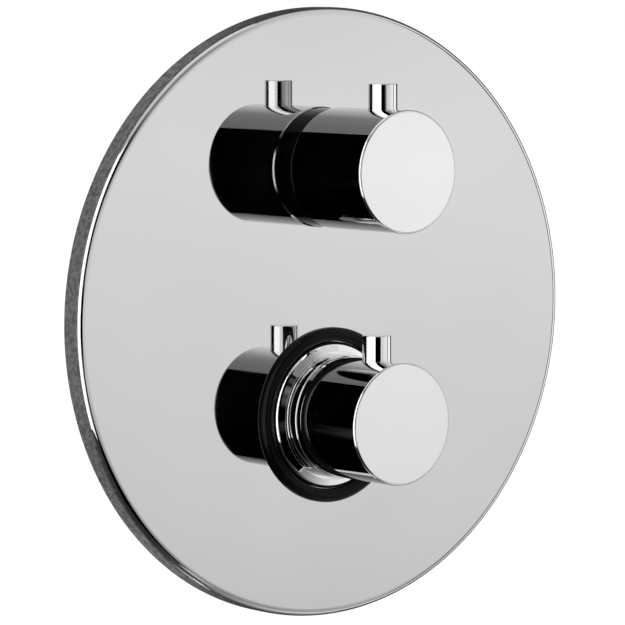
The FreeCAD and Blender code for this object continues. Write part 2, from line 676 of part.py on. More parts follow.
def return_spring():
    low = -(LOWER_CHAMBER_END - STOP_SHORT) + SPRING_SEAT_T + RUN_FIT
    high = shuttle_ends()[0] - RUN_FIT
    return at_axis(coil(RETURN_SPRING_R, RETURN_SPRING_WIRE, RETURN_SPRING_TURNS, low, high), LOWER_Z)


def push_disc_back():
    return wax_levels()[2] + WAX_PIN_LENGTH


def push_disc():
    z0 = push_disc_back()
    return at_axis(ring(PUSH_DISC_R, 0, z0, z0 + PUSH_DISC_T), LOWER_Z)


def overload_spring():
    z0 = push_disc_back() + PUSH_DISC_T + RUN_FIT
    z1 = z0 + OVERLOAD_SPRING_LENGTH
    return at_axis(coil(OVERLOAD_SPRING_R, OVERLOAD_SPRING_WIRE, OVERLOAD_SPRING_TURNS, z0, z1), LOWER_Z)


def overload_cup():
    """Cup that the spindle screws in and out; it holds the overload spring behind an inward lip."""
    z0 = push_disc_back() - RUN_FIT
    floor = push_disc_back() + PUSH_DISC_T + OVERLOAD_SPRING_LENGTH + 2 * RUN_FIT
    inner = CUP_R - CUP_WALL
    body = ring(CUP_R, 0, z0 - CUP_LIP, floor + CUP_FLOOR_T)
    body = body.cut(ring(inner, 0, z0, floor)).cut(ring(inner - CUP_LIP, 0, z0 - CUP_LIP, z0))
    return at_axis(body, LOWER_Z)


# ---- diverter cartridge ----
def diverter_levels():
    seal_front = -UPPER_LEDGE + SEAT_SEAL_T
    fixed_front = seal_front + FIXED_DISC_T
    moving_back = fixed_front + DISC_FILM
    return seal_front, fixed_front, moving_back, moving_back + MOVING_DISC_T


def disc_with_ports(r, z0, z1, angles):
    disc = ring(r, 0, z0, z1)
    for a in angles:
        hole = ring(DISC_PORT_R, 0, z0, z1)
        hole.translate(V(DISC_PORT_CIRCLE_R, 0, 0))
        hole.rotate(V(0, 0, 0), V(0, 0, 1), a)
        disc = disc.cut(hole)
    return disc


def diverter_base_seal():
    return at_axis(ring(SEAT_SEAL_R, SEAT_SEAL_IN_R, -UPPER_LEDGE, diverter_levels()[0]), UPPER_Z)


def fixed_ceramic_disc():
    seal_front, fixed_front, _, _ = diverter_levels()
    return at_axis(disc_with_ports(FIXED_DISC_R, seal_front, fixed_front, (0, 180)), UPPER_Z)


def moving_ceramic_disc():
    _, _, back, front = diverter_levels()
    return at_axis(disc_with_ports(MOVING_DISC_R, back, front, (90,)), UPPER_Z)


def diverter_housing():
    """Plastic cage round the discs with one window towards each outlet, and with the fixed stop of
    the diverter inside its front edge."""
    land_r = CHAMBER_R - HOUSING_GAP
    inner_r = land_r - DIVERTER_WALL
    body = ring(land_r, inner_r, -UPPER_LEDGE, -HOUSING_FRONT)
    width = 360 - 2 * DIVERTER_DEG - DIVERTER_LUG_DEG - 2 * STOP_SPARE_DEG
    stop = sector(land_r - DIVERTER_WALL / 2, DIVERTER_STOP_IN_R, thrust_levels()[0], -HOUSING_FRONT,
                  90, width)
    body = body.fuse(stop)
    for angle in (0, 90):
        window = ring(OUTLET_BORE_R - 1, 0, inner_r - 2, land_r + 1)
        body = body.cut(radial(window, angle, -OUTLET_DEPTH + 1))
    return at_axis(body, UPPER_Z)


def diverter_spindle():
    front = diverter_levels()[3]
    flange = ring(DRIVE_FLANGE_R, 0, front, front + DRIVE_FLANGE_T)
    collar_back, collar_front = thrust_levels()
    lug = sector(DIVERTER_LUG_R, SPINDLE_R, collar_back, collar_front, -90, DIVERTER_LUG_DEG)
    return at_axis(spindle_stem(UPPER_FACE, front).fuse([flange, lug]), UPPER_Z)


# ---- inlet strainers and check valves, built with Z as the distance from the body axis ----
def valve_levels():
    mouth = PORT_X - THREAD_LENGTH - STRAINER_T
    seat_in = mouth - SEAT_T
    poppet_in = seat_in - POPPET_T - RUN_FIT
    hub_in = VALVE_BORE_END + POPPET_LIFT
    return mouth, seat_in, poppet_in, hub_in


def strainer():
    """Sieve plate that lies on the mouth of the check valve cage."""
    mouth = valve_levels()[0]
    disc = ring(VALVE_BORE_R - CAGE_GAP, 0, mouth, mouth + STRAINER_T)
    holes = [ring(MESH_R, 0, mouth, mouth + STRAINER_T)]
    for k in range(1, MESH_RINGS + 1):
        for i in range(6 * k):
            hole = ring(MESH_R, 0, mouth, mouth + STRAINER_T)
            hole.translate(V(k * MESH_PITCH, 0, 0))
            hole.rotate(V(0, 0, 0), V(0, 0, 1), i * 60.0 / k)
            holes.append(hole)
    return disc.cut(holes)


def check_valve_cage():
    """Cage with the seat at its mouth and a spider that guides the poppet's stem."""
    mouth, seat_in, _, hub_in = valve_levels()
    r_out = VALVE_BORE_R - CAGE_GAP
    body = ring(r_out, r_out - CAGE_WALL, VALVE_BORE_END + STOP_SHORT, mouth)
    body = body.fuse(ring(r_out, SEAT_HOLE_R, seat_in, mouth))
    body = body.fuse(ring(HUB_R, 0, hub_in, hub_in + HUB_T))
    for a in (0, 120, 240):
        spoke = Part.makeBox(r_out - CAGE_WALL / 2, SPOKE_W, HUB_T, V(0, -SPOKE_W / 2, hub_in))
        spoke.rotate(V(0, 0, 0), V(0, 0, 1), a)
        body = body.fuse(spoke)
    return body.cut(ring(STEM_R + RUN_FIT, 0, hub_in, hub_in + HUB_T))


def check_valve_poppet():
    _, seat_in, poppet_in, hub_in = valve_levels()
    disc = ring(POPPET_R, 0, poppet_in, poppet_in + POPPET_T)
    return disc.fuse(ring(STEM_R, 0, hub_in + STOP_SHORT, poppet_in))


def check_valve_spring():
    _, _, poppet_in, hub_in = valve_levels()
    return coil(VALVE_SPRING_R, VALVE_SPRING_WIRE, VALVE_SPRING_TURNS, hub_in + HUB_T + RUN_FIT,
                poppet_in - RUN_FIT)


# ---- all nodes ----
os.makedirs("parts", exist_ok=True)

save("wall_plate", wall_plate())
save("plate_seal", plate_seal())

save("upper_sleeve", upper_sleeve())
save("upper_guide_ring", upper_guide_ring())
save("lower_sleeve", lower_sleeve())
save("rubber_ring", rubber_ring())
save("bell_flange", bell_flange())
save("grooved_collar", grooved_collar())

for label, face, back, height in (("diverter", UPPER_FACE, UPPER_BACK, UPPER_Z),
                                  ("temperature", LOWER_FACE, LOWER_BACK, LOWER_Z)):
    save(label + "_knob", knob(face, back, height))
    save(label + "_knob_pin", lever_pin(face, height))
    save(label + "_grub_screw", grub_screw(face, height))
save("diverter_spline_adapter", spline_adapter(UPPER_FACE - HUB_LENGTH, UPPER_FACE, UPPER_Z))
save("temperature_spline_adapter",
     spline_adapter(LOWER_FACE - HUB_LENGTH - TURN_GAP - STOP_LENGTH, LOWER_FACE, LOWER_Z))
save("temperature_stop_ring", temperature_stop_ring())

save("valve_body", valve_body())
save("diverter_head_part", head_part(UPPER_Z))
save("thermostat_head_part", head_part(LOWER_Z))
save("spindle_o_rings", spindle_o_rings())

save("temperature_spindle", temperature_spindle())
save("thermostat_housing", thermostat_housing())
save("thermostat_o_rings", thermostat_o_rings())
save("regulating_shuttle", regulating_shuttle())
save("wax_element", wax_element())
save("return_spring", return_spring())
save("push_disc", push_disc())
save("overload_spring", overload_spring())
save("overload_cup", overload_cup())

save("diverter_base_seal", diverter_base_seal())
save("fixed_ceramic_disc", fixed_ceramic_disc())
save("moving_ceramic_disc", moving_ceramic_disc())
save("diverter_housing", diverter_housing())
save("diverter_spindle", diverter_spindle())

for label, side in (("hot", -1), ("cold", 1)):
    save(label + "_strainer", at_inlet(strainer(), side))
    save(label + "_check_valve_cage", at_inlet(check_valve_cage(), side))
    save(label + "_check_valve_poppet", at_inlet(check_valve_poppet(), side))
    save(label + "_check_valve_spring", at_inlet(check_valve_spring(), side))
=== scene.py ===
"""Finished look of a concealed thermostatic shower valve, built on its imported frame.

Metres throughout, in the frame of the CAD: +X to the right, +Y into the wall, +Z up. "front" is the
distance from the finished wall towards the room, so a point at front f has y = -f.
"""

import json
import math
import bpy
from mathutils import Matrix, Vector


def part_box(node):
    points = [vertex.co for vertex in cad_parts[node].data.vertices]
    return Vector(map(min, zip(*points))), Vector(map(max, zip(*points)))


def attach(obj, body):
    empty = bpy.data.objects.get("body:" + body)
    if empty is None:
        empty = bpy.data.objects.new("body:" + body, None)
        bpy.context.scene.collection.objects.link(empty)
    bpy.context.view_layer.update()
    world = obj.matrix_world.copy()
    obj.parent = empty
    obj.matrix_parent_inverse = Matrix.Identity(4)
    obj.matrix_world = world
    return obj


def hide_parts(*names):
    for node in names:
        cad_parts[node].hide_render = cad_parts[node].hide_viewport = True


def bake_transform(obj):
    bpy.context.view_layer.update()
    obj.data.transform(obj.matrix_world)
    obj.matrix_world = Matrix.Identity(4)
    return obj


bl_info = {
    "name": "Thermostatic shower valve",
    "version": (1, 0, 0),
    "blender": (4, 5, 0),
    "location": "View3D > Sidebar > Shower valve",
    "description": "Builds the finished trim of a concealed shower valve on its packed frame",
    "category": "Object",
}

import bpy
import numpy as np
from mathutils import Vector

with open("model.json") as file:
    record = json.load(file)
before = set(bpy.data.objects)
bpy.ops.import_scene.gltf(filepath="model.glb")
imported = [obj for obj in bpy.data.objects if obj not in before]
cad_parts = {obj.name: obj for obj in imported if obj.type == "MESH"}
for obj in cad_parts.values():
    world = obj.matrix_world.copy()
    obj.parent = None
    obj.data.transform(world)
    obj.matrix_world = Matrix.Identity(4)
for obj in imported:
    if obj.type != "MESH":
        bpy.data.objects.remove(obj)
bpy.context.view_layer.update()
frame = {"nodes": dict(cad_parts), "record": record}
MM = 0.001
FIXED = "valve"
KNOB_BODIES = {"diverter": "diverter_handle", "temperature": "temperature_handle"}
WELD = 1e-8                 # points nearer to each other than this, in metres, become one
NOISE_RANGE = (0.35, 0.65)  # holds nearly all the values of a noise texture

# Where the light panels meet, in degrees to the left of straight ahead.
REAR_LEFT, SOFTBOX_LEFT, FLAG_LEFT = 150, 106, 51
GAP_LEFT, GAP_RIGHT, SOFTBOX_RIGHT, REAR_RIGHT = -49.5, -57, -82, -160
# Right edge of the dark flag, which is the left edge of the front light: elevation and azimuth.
FLAG_RIGHT = ((-53, -43, -33, -20, -5, 42, 52, 75), (-3, -24, -20, -8, -4, 15, 18, 18))
# Brightness of the flag by elevation, as (azimuth, level) knots. The bright knots near straight ahead
# are the window that the plate mirrors when it is seen from the front.
WINDOW = ((51, 0), (9.5, 0), (8.5, 0.8))
FLAG_SHADE = {
    -53: ((51, 0),),
    -34: ((51, 0),),
    -26: ((51, 0.5), (42, 0.3), (37, 0)),
    -20: ((51, 0.5), (42, 0.3), (37, 0), (21, 0), (15, 0.6)),
    -13: ((51, 0.5), (44, 0.3), (39, 0), (25, 0), (17, 0.6), (9, 0.8)),
    -8: WINDOW,
    -5: WINDOW,
    0: WINDOW,
    4: ((51, 0), (24, 0), (16, 0.5), (9, 0.8)),
    14: ((51, 0), (22, 0), (14, 0.6), (0, 0.7)),
    22: ((51, 0), (16, 0), (8, 0.4)),
    29: ((51, 0),),
    42: ((51, 0),),
}
# Brightness of the front light by elevation, in even steps from its left edge to its right one.
FRONT_GLOW = {
    -53: (0.25, 0.4, 0.6, 0.8, 0.95),
    -43: (0.2, 0.3, 0.5, 0.75, 0.9),
    -33: (0.12, 0.25, 0.35, 0.45, 0.6),
    -20: (0.3, 0.42, 0.5, 0.55, 0.7),
    -12: (0.6, 0.75, 0.85, 0.9, 0.9),
    -5: (0.8, 0.9, 0.97, 0.98, 0.98),
    0: (0.8, 0.87, 1.0, 1.08, 1.08),
    8: (0.7, 0.75, 0.85, 0.92, 1.0),
    20: (0.3, 0.38, 0.6, 0.9, 1.0),
    28: (0.25, 0.3, 0.45, 0.8, 0.95),
    36: (0.22, 0.25, 0.32, 0.8, 0.9),
    50: (0.3, 0.3, 0.4, 0.7, 0.75),
    75: (0.8, 0.8, 0.8, 0.8, 0.8),
}


# ---- sizes read from the frame ----
def axis_height(node):
    """Height of the line that a round node is turned about."""
    low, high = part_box(node)
    return (low.z + high.z) / 2


def reach(node):
    """Radius, front of the far end and front of the near end of a round node."""
    low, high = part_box(node)
    return (high.x - low.x) / 2, -high.y, -low.y


PLATE_R, _, PLATE_FRONT = reach("wall_plate")
UPPER_Z = axis_height("upper_guide_ring")
LOWER_Z = axis_height("rubber_ring")


# ---- surfaces: every patch is (points, normals, quads) as whole arrays ----
def grid_quads(rows, cols):
    """Corner numbers of the cells of a grid of rows by cols points."""
    i = np.arange(rows * cols).reshape(rows, cols)
    return np.stack([i[:-1, :-1], i[1:, :-1], i[1:, 1:], i[:-1, 1:]], -1).reshape(-1, 4)


def line(start, end):
    """Straight stretch of a profile in (radius, front). Its normal is on the right of the way it runs."""
    points = np.array([start, end], float)
    along = points[1] - points[0]
    normal = np.array([along[1], -along[0]]) / np.hypot(*along)
    return points, np.array([normal, normal])


def arc(centre, radius, start_deg, end_deg, steps=12):
    """Circular stretch: centre + radius (cos a, sin a). Its normal points away from the centre while the
    angle grows, and to the centre while it falls."""
    a = np.radians(np.linspace(start_deg, end_deg, steps + 1))
    out = np.stack([np.cos(a), np.sin(a)], -1)
    return np.array(centre) + radius * out, out * (1 if end_deg > start_deg else -1)


def ellipse(centre, width, height, start_deg, end_deg, steps=16):
    """Stretch of an ellipse: centre + (width cos a, height sin a), with its normal outwards."""
    a = np.radians(np.linspace(start_deg, end_deg, steps + 1))
    out = np.stack([height * np.cos(a), width * np.sin(a)], -1)
    points = np.array(centre) + np.stack([width * np.cos(a), height * np.sin(a)], -1)
    return points, out / np.linalg.norm(out, axis=1, keepdims=True)


def turn(stretch, height, angles):
    """Carries a profile round the axis at that height: (r cos a, -front, height + r sin a)."""
    (points, normals), a = stretch, angles[:, None]
    r, front = points[:, 0], points[:, 1]
    nr, nf = normals[:, 0], normals[:, 1]
    flat = np.ones_like(a)
    xyz = np.stack([r * np.cos(a), -front * flat, height + r * np.sin(a)], -1)
    out = np.stack([nr * np.cos(a), -nf * flat, nr * np.sin(a)], -1)
    return xyz.reshape(-1, 3), out.reshape(-1, 3), grid_quads(len(angles), len(points))


def full_turn(steps=192):
    return np.linspace(-math.pi, math.pi, steps + 1)


def pierced_grid(u, v, holes, rings=6):
    """Grid of (u, v) points with round holes. Each hole is (u, v, radius, reach, bend): the cells within
    reach are taken out, and loops that blend from their square border to the circle fill the space.
    Where bend is a radius, u is an arc length on a cylinder, and the circle is round when seen along the
    hole's own axis. Returns the points, the quads and each circle's angles."""
    points = np.stack(np.meshgrid(u, v, indexing="ij"), -1).reshape(-1, 2)
    index = np.arange(len(points)).reshape(len(u), len(v))
    open_cells = np.ones((len(u) - 1, len(v) - 1), bool)
    parts, quads, angles, count = [points], [], [], len(points)
    for cu, cv, radius, half, bend in holes:
        i0, i1 = (int(np.argmin(abs(u - cu - s * half))) for s in (-1, 1))
        j0, j1 = (int(np.argmin(abs(v - cv - s * half))) for s in (-1, 1))
        open_cells[i0:i1, j0:j1] = False
        border = np.concatenate([index[i0:i1, j0], index[i1, j0:j1], index[i1:i0:-1, j1], index[i0, j1:j0:-1]])
        flat = points[border] - (cu, cv)
        if bend:
            flat[:, 0] = bend * np.sin(flat[:, 0] / bend)
        a = np.arctan2(flat[:, 1], flat[:, 0])
        circle = radius * np.stack([np.cos(a), np.sin(a)], -1)
        t = (np.arange(1, rings + 1) / rings)[:, None, None]
        loops = flat * (1 - t) + circle * t
        if bend:
            loops[..., 0] = bend * np.arcsin(loops[..., 0] / bend)
        loops += (cu, cv)
        parts.append(loops.reshape(-1, 2))
        n = len(border)
        ids = np.vstack([border, count + np.arange(rings * n).reshape(rings, n)])
        ids = np.hstack([ids, ids[:, :1]])
        quads.append(np.stack([ids[:-1, :-1], ids[1:, :-1], ids[1:, 1:], ids[:-1, 1:]], -1).reshape(-1, 4))
        angles.append(np.append(a, a[0]))
        count += rings * n
    cells = grid_quads(len(u), len(v))[open_cells.ravel()]
    return np.vstack(parts), np.vstack([cells, *quads]), angles


def mesh_piece(name, body, node, patches, materials):
    """Joins patches, each with its material's number, into one closed mesh: doubled points are merged,
    every quad is wound to face along its normals, and the corners keep the exact normals. The piece
    rides on the body, unless that is None, and stands for the CAD node."""
    xyz, out, quads, paint, count = [], [], [], [], 0
    for (points, normals, cells), number in patches:
        xyz.append(points)
        out.append(normals)
        quads.append(cells + count)
        paint.append(np.full(len(cells), number))
        count += len(points)
    xyz, out, quads, paint = np.vstack(xyz), np.vstack(out), np.vstack(quads), np.concatenate(paint)
    p = xyz[quads]
    facing = np.cross(p[:, 2] - p[:, 0], p[:, 3] - p[:, 1])
    flip = np.einsum("ij,ij->i", facing, out[quads].sum(1)) < 0
    quads[flip] = quads[flip][:, ::-1]
    _, first, same = np.unique(np.round(xyz / WELD).astype(np.int64), axis=0, return_index=True,
                               return_inverse=True)
    merged = same.ravel()[quads]
    distinct = merged != np.roll(merged, 1, axis=1)
    corners = distinct.sum(1)
    solid = corners > 2
    merged, distinct, corners = merged[solid], distinct[solid], corners[solid]
    loops, corner_normals = merged[distinct], out[quads[solid]][distinct]
    mesh = bpy.data.meshes.new(name)
    mesh.vertices.add(len(first))
    mesh.vertices.foreach_set("co", xyz[first].astype(np.float32).ravel())
    mesh.loops.add(len(loops))
    mesh.loops.foreach_set("vertex_index", loops.astype(np.int32))
    mesh.polygons.add(len(corners))
    mesh.polygons.foreach_set("loop_start", (np.cumsum(corners) - corners).astype(np.int32))
    mesh.polygons.foreach_set("material_index", paint[solid].astype(np.int32))
    mesh.update(calc_edges=True)
    mesh.polygons.foreach_set("use_smooth", np.ones(len(corners), bool))
    for material in materials:
        mesh.materials.append(material)
    length = np.linalg.norm(corner_normals, axis=1, keepdims=True)
    mesh.normals_split_custom_set((corner_normals / length).tolist())
    piece = bpy.data.objects.new(name, mesh)
    bpy.context.scene.collection.objects.link(piece)
    if body:
        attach(piece, body)
    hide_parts(node)
    return piece


def coil(outer_r, wire, turns, length):
    """Spring wire climbing from 0 to length. Its middle line is (r cos t, r sin t, wire + climb t), and
    round it goes a circle: wire (outward cos v + binormal sin v). A flat disc closes each end."""
    t = np.linspace(0, 2 * math.pi * turns, 48 * turns + 1)[:, None]
    r, climb = outer_r - wire, (length - 2 * wire) / (2 * math.pi * turns)
    middle = np.hstack([r * np.cos(t), r * np.sin(t), wire + climb * t])
    outward = np.hstack([np.cos(t), np.sin(t), 0 * t])
    along = np.hstack([-r * np.sin(t), r * np.cos(t), climb + 0 * t]) / math.hypot(r, climb)
    v = full_turn(12)[None, :, None]
    round_wire = outward[:, None] * np.cos(v) + np.cross(along, outward)[:, None] * np.sin(v)
    skin = middle[:, None] + wire * round_wire
    patches = [(skin.reshape(-1, 3), round_wire.reshape(-1, 3), grid_quads(*skin.shape[:2]))]
    for end, sign in ((0, -1), (-1, 1)):
        disc = np.stack([skin[end], np.broadcast_to(middle[end], skin[end].shape)])
        normals = np.broadcast_to(sign * along[end], disc.shape)
        patches.append((disc.reshape(-1, 3), normals.reshape(-1, 3), grid_quads(*disc.shape[:2])))
    return patches


# ---- materials ----
def new_material(name):
    """Material with an emptied tree: its nodes, links and Principled shader."""
    material = bpy.data.materials.new(name)
    material.use_nodes = True
    tree = material.node_tree
    tree.nodes.clear()
    shader = tree.nodes.new("ShaderNodeBsdfPrincipled")
    output = tree.nodes.new("ShaderNodeOutputMaterial")
    tree.links.new(shader.outputs["BSDF"], output.inputs["Surface"])
    return material, tree, shader


def grey(level):
    return (level,) * 3


def object_coords(tree, scale=(1, 1, 1)):
    coords = tree.nodes.new("ShaderNodeTexCoord")
    mapping = tree.nodes.new("ShaderNodeMapping")
    mapping.inputs["Scale"].default_value = scale
    tree.links.new(coords.outputs["Object"], mapping.inputs["Vector"])
    return mapping.outputs["Vector"]


def noise(tree, vector, scale, detail=3.0, distortion=0.0):
    node = tree.nodes.new("ShaderNodeTexNoise")
    node.inputs["Scale"].default_value = scale
    node.inputs["Detail"].default_value = detail
    node.inputs["Distortion"].default_value = distortion
    tree.links.new(vector, node.inputs["Vector"])
    return node.outputs["Fac"]


def spread(tree, value, low, high):
    """Maps a noise value onto low..high."""
    node = tree.nodes.new("ShaderNodeMapRange")
    for key, number in zip(("From Min", "From Max", "To Min", "To Max"), (*NOISE_RANGE, low, high)):
        node.inputs[key].default_value = number
    tree.links.new(value, node.inputs["Value"])
    return node.outputs["Result"]


def tint(tree, value, dark, light, between=NOISE_RANGE):
    """Colour from dark to light, as a noise value goes from the first to the second of between."""
    ramp = tree.nodes.new("ShaderNodeValToRGB")
    for element, position, colour in zip(ramp.color_ramp.elements, between, (dark, light)):
        element.position, element.color = position, (*colour, 1)
    tree.links.new(value, ramp.inputs["Fac"])
    return ramp.outputs["Color"]


def bump(tree, height, distance, under=None):
    """Relief of the given depth, laid over the normal under, where there is one."""
    node = tree.nodes.new("ShaderNodeBump")
    node.inputs["Distance"].default_value = distance
    node.inputs["Strength"].default_value = 1.0
    tree.links.new(height, node.inputs["Height"])
    if under is not None:
        tree.links.new(under, node.inputs["Normal"])
    return node.outputs["Normal"]


def mirror_metal(name, tone, polish, wave):
    """Mirror-bright metal: faint tone drift, cloudy polish and a very shallow ripple."""
    material, tree, shader = new_material(name)
    shader.inputs["Metallic"].default_value = 1.0
    where = object_coords(tree)
    drift = noise(tree, where, 14.0, 2.0)
    low, high = tone * 0.985, tone * 1.015
    tree.links.new(tint(tree, drift, (low, low, low * 1.004), (high, high, high * 1.004)),
                   shader.inputs["Base Color"])
    haze = noise(tree, where, 60.0, 6.0)
    tree.links.new(spread(tree, haze, polish * 0.6, polish * 1.6), shader.inputs["Roughness"])
    tree.links.new(bump(tree, noise(tree, where, 22.0, 1.0), wave), shader.inputs["Normal"])
    return material


def raw_rim(name, tone):
    """Unpolished, slightly mottled steel of the plate's rim, with fine drawing lines along the rim."""
    material, tree, shader = new_material(name)
    shader.inputs["Metallic"].default_value = 1.0
    where = object_coords(tree)
    blotch = noise(tree, where, 640.0, 5.0, 0.4)
    tree.links.new(tint(tree, blotch, grey(tone * 0.62), grey(tone * 1.3), (0.38, 0.62)),
                   shader.inputs["Base Color"])
    tree.links.new(spread(tree, noise(tree, where, 420.0, 4.0), 0.36, 0.6), shader.inputs["Roughness"])
    lines = bump(tree, noise(tree, object_coords(tree, (60, 1800, 60)), 1.0, 3.0), 0.03 * MM)
    tree.links.new(bump(tree, noise(tree, where, 900.0, 5.0), 0.06 * MM, lines), shader.inputs["Normal"])
    return material


def moulded(name, dark, light, rough, grain, specular=0.5):
    """Moulded plastic or rubber: colour drift, uneven sheen and a fine grain of the given depth."""
    material, tree, shader = new_material(name)
    where = object_coords(tree)
    tree.links.new(tint(tree, noise(tree, where, 90.0, 4.0), dark, light), shader.inputs["Base Color"])
    tree.links.new(spread(tree, noise(tree, where, 240.0, 3.0), rough * 0.8, rough * 1.25),
                   shader.inputs["Roughness"])
    tree.links.new(bump(tree, noise(tree, where, 2600.0, 2.0), grain), shader.inputs["Normal"])
    shader.inputs["Specular IOR Level"].default_value = specular
    return material


def plain_steel(name, tone, rough):
    """Drawn, turned or stamped steel: slight tone drift, uneven sheen and a very fine skin."""
    material, tree, shader = new_material(name)
    shader.inputs["Metallic"].default_value = 1.0
    where = object_coords(tree)
    tree.links.new(tint(tree, noise(tree, where, 300.0, 4.0), grey(tone * 0.9), grey(tone * 1.08)),
                   shader.inputs["Base Color"])
    tree.links.new(spread(tree, noise(tree, where, 500.0, 3.0), rough * 0.7, rough * 1.3),
                   shader.inputs["Roughness"])
    tree.links.new(bump(tree, noise(tree, object_coords(tree, (1, 6, 1)), 900.0, 2.0), 0.008 * MM),
                   shader.inputs["Normal"])
    return material


def cast_brass(name):
    """Cast and blasted brass: warm drift, dull patches, and a sandy skin."""
    material, tree, shader = new_material(name)
    shader.inputs["Metallic"].default_value = 1.0
    where = object_coords(tree)
    tree.links.new(tint(tree, noise(tree, where, 45.0, 6.0, 0.4), (0.44, 0.29, 0.11), (0.66, 0.46, 0.20)),
                   shader.inputs["Base Color"])
    tree.links.new(spread(tree, noise(tree, where, 120.0, 5.0), 0.34, 0.56), shader.inputs["Roughness"])
    casting = bump(tree, noise(tree, where, 260.0, 3.0), 0.12 * MM)
    tree.links.new(bump(tree, noise(tree, where, 1500.0, 3.0), 0.05 * MM, casting), shader.inputs["Normal"])
    return material


# ---- settings ----
class PlateSettings(bpy.types.PropertyGroup):
    sheet: bpy.props.FloatProperty(
        name="Sheet", description="Thickness of the face and of the rim", default=2.5 * MM, unit="LENGTH")
    edge_width: bpy.props.FloatProperty(
        name="Edge width", description="Width of the rolled edge on the face", default=2.2 * MM, unit="LENGTH")
    edge_drop: bpy.props.FloatProperty(
        name="Edge drop", description="Depth of the rolled edge on the rim", default=2.8 * MM, unit="LENGTH")
    polished_from: bpy.props.FloatProperty(
        name="Polished from", description="How far round the edge the polish starts, 0 at the rim",
        default=math.radians(32), min=0, max=math.pi / 2, subtype="ANGLE")
    lead_width: bpy.props.FloatProperty(
        name="Lead width", description="Width of the shallow fall of the face before the rolled edge",
        default=1.1 * MM, unit="LENGTH")
    lead_slope: bpy.props.FloatProperty(
        name="Lead slope", description="Slope where that fall meets the rolled edge", default=math.radians(12),
        subtype="ANGLE")
    hole_radius: bpy.props.FloatProperty(
        name="Hole radius", description="Radius of both holes", default=18.7 * MM, unit="LENGTH")
    tone: bpy.props.FloatProperty(
        name="Tone", description="Reflectance of the polished face", default=0.64, min=0, max=1)
    rim_tone: bpy.props.FloatProperty(
        name="Rim tone", description="Reflectance of the unpolished rim", default=0.12, min=0, max=1)


class KnobSettings(bpy.types.PropertyGroup):
    edge_round: bpy.props.FloatProperty(
        name="Edge rounding", description="Rounding between face and side", default=0.85 * MM, unit="LENGTH")
    back_chamfer: bpy.props.FloatProperty(
        name="Back chamfer", description="Chamfer of the back rim", default=0.4 * MM, unit="LENGTH")
    cavity_radius: bpy.props.FloatProperty(
        name="Cavity", description="Radius of the hollow behind", default=19.0 * MM, unit="LENGTH")
    hub_length: bpy.props.FloatProperty(
        name="Hub length", description="Face to hub end", default=27.0 * MM, unit="LENGTH")
    hub_bore: bpy.props.FloatProperty(
        name="Hub bore", description="Radius of the hub's bore", default=9.0 * MM, unit="LENGTH")
    hub_floor: bpy.props.FloatProperty(
        name="Hub floor", description="Face to the bore's floor", default=9.0 * MM, unit="LENGTH")
    stud_radius: bpy.props.FloatProperty(
        name="Stud radius", description="Radius of the lever pin's stud", default=3.0 * MM, unit="LENGTH")
    stud_length: bpy.props.FloatProperty(
        name="Stud length", description="Length of the lever pin's stud", default=7.2 * MM, unit="LENGTH")
    fit: bpy.props.FloatProperty(
        name="Fit", description="Gap round a pushed-in piece", default=0.05 * MM, unit="LENGTH")
    mouth: bpy.props.FloatProperty(
        name="Hole edge", description="Rounding at the mouth of a hole", default=0.18 * MM, unit="LENGTH")
    pin_edge: bpy.props.FloatProperty(
        name="Pin edge", description="Rounding at the lever pin's end", default=0.35 * MM, unit="LENGTH")
    tone: bpy.props.FloatProperty(
        name="Tone", description="Reflectance of the plating", default=0.78, min=0, max=1)


class TrimSettings(bpy.types.PropertyGroup):
    guide_edge: bpy.props.FloatProperty(
        name="Guide edge", description="Edge rounding of the black ring", default=0.5 * MM, unit="LENGTH")
    flange_shoulder: bpy.props.FloatProperty(
        name="Flange shoulder", description="Radius of the bell flange's shoulder", default=3.2 * MM, unit="LENGTH")
    flange_slope: bpy.props.FloatProperty(
        name="Flange slope", description="Slope of the cone above the shoulder", default=math.radians(31),
        subtype="ANGLE")
    flange_edge: bpy.props.FloatProperty(
        name="Flange edge", description="Edge rounding at the cone's top", default=0.25 * MM, unit="LENGTH")
    collar_edge: bpy.props.FloatProperty(
        name="Collar edge", description="Edge rounding of the collar", default=0.4 * MM, unit="LENGTH")
    collar_length: bpy.props.FloatProperty(
        name="Collar length", description="Length of the collar's full diameter", default=4.8 * MM, unit="LENGTH")
    collar_neck: bpy.props.FloatProperty(
        name="Collar neck", description="Radius at the bottom of the groove", default=21.1 * MM, unit="LENGTH")
    rubber_foot: bpy.props.FloatProperty(
        name="Rubber foot", description="Height where the rubber's rounding starts, as a share of its height",
        default=0.25, min=0, max=1)


class SpringSettings(bpy.types.PropertyGroup):
    return_wire: bpy.props.FloatProperty(
        name="Return wire", description="Wire radius of the thermostat's return spring", default=0.8 * MM,
        unit="LENGTH")
    return_turns: bpy.props.IntProperty(name="Return turns", description="Turns of the return spring", default=5)
    check_wire: bpy.props.FloatProperty(
        name="Check wire", description="Wire radius of the check valve springs", default=0.18 * MM, unit="LENGTH")
    check_turns: bpy.props.IntProperty(name="Check turns", description="Turns of a check valve spring", default=3)


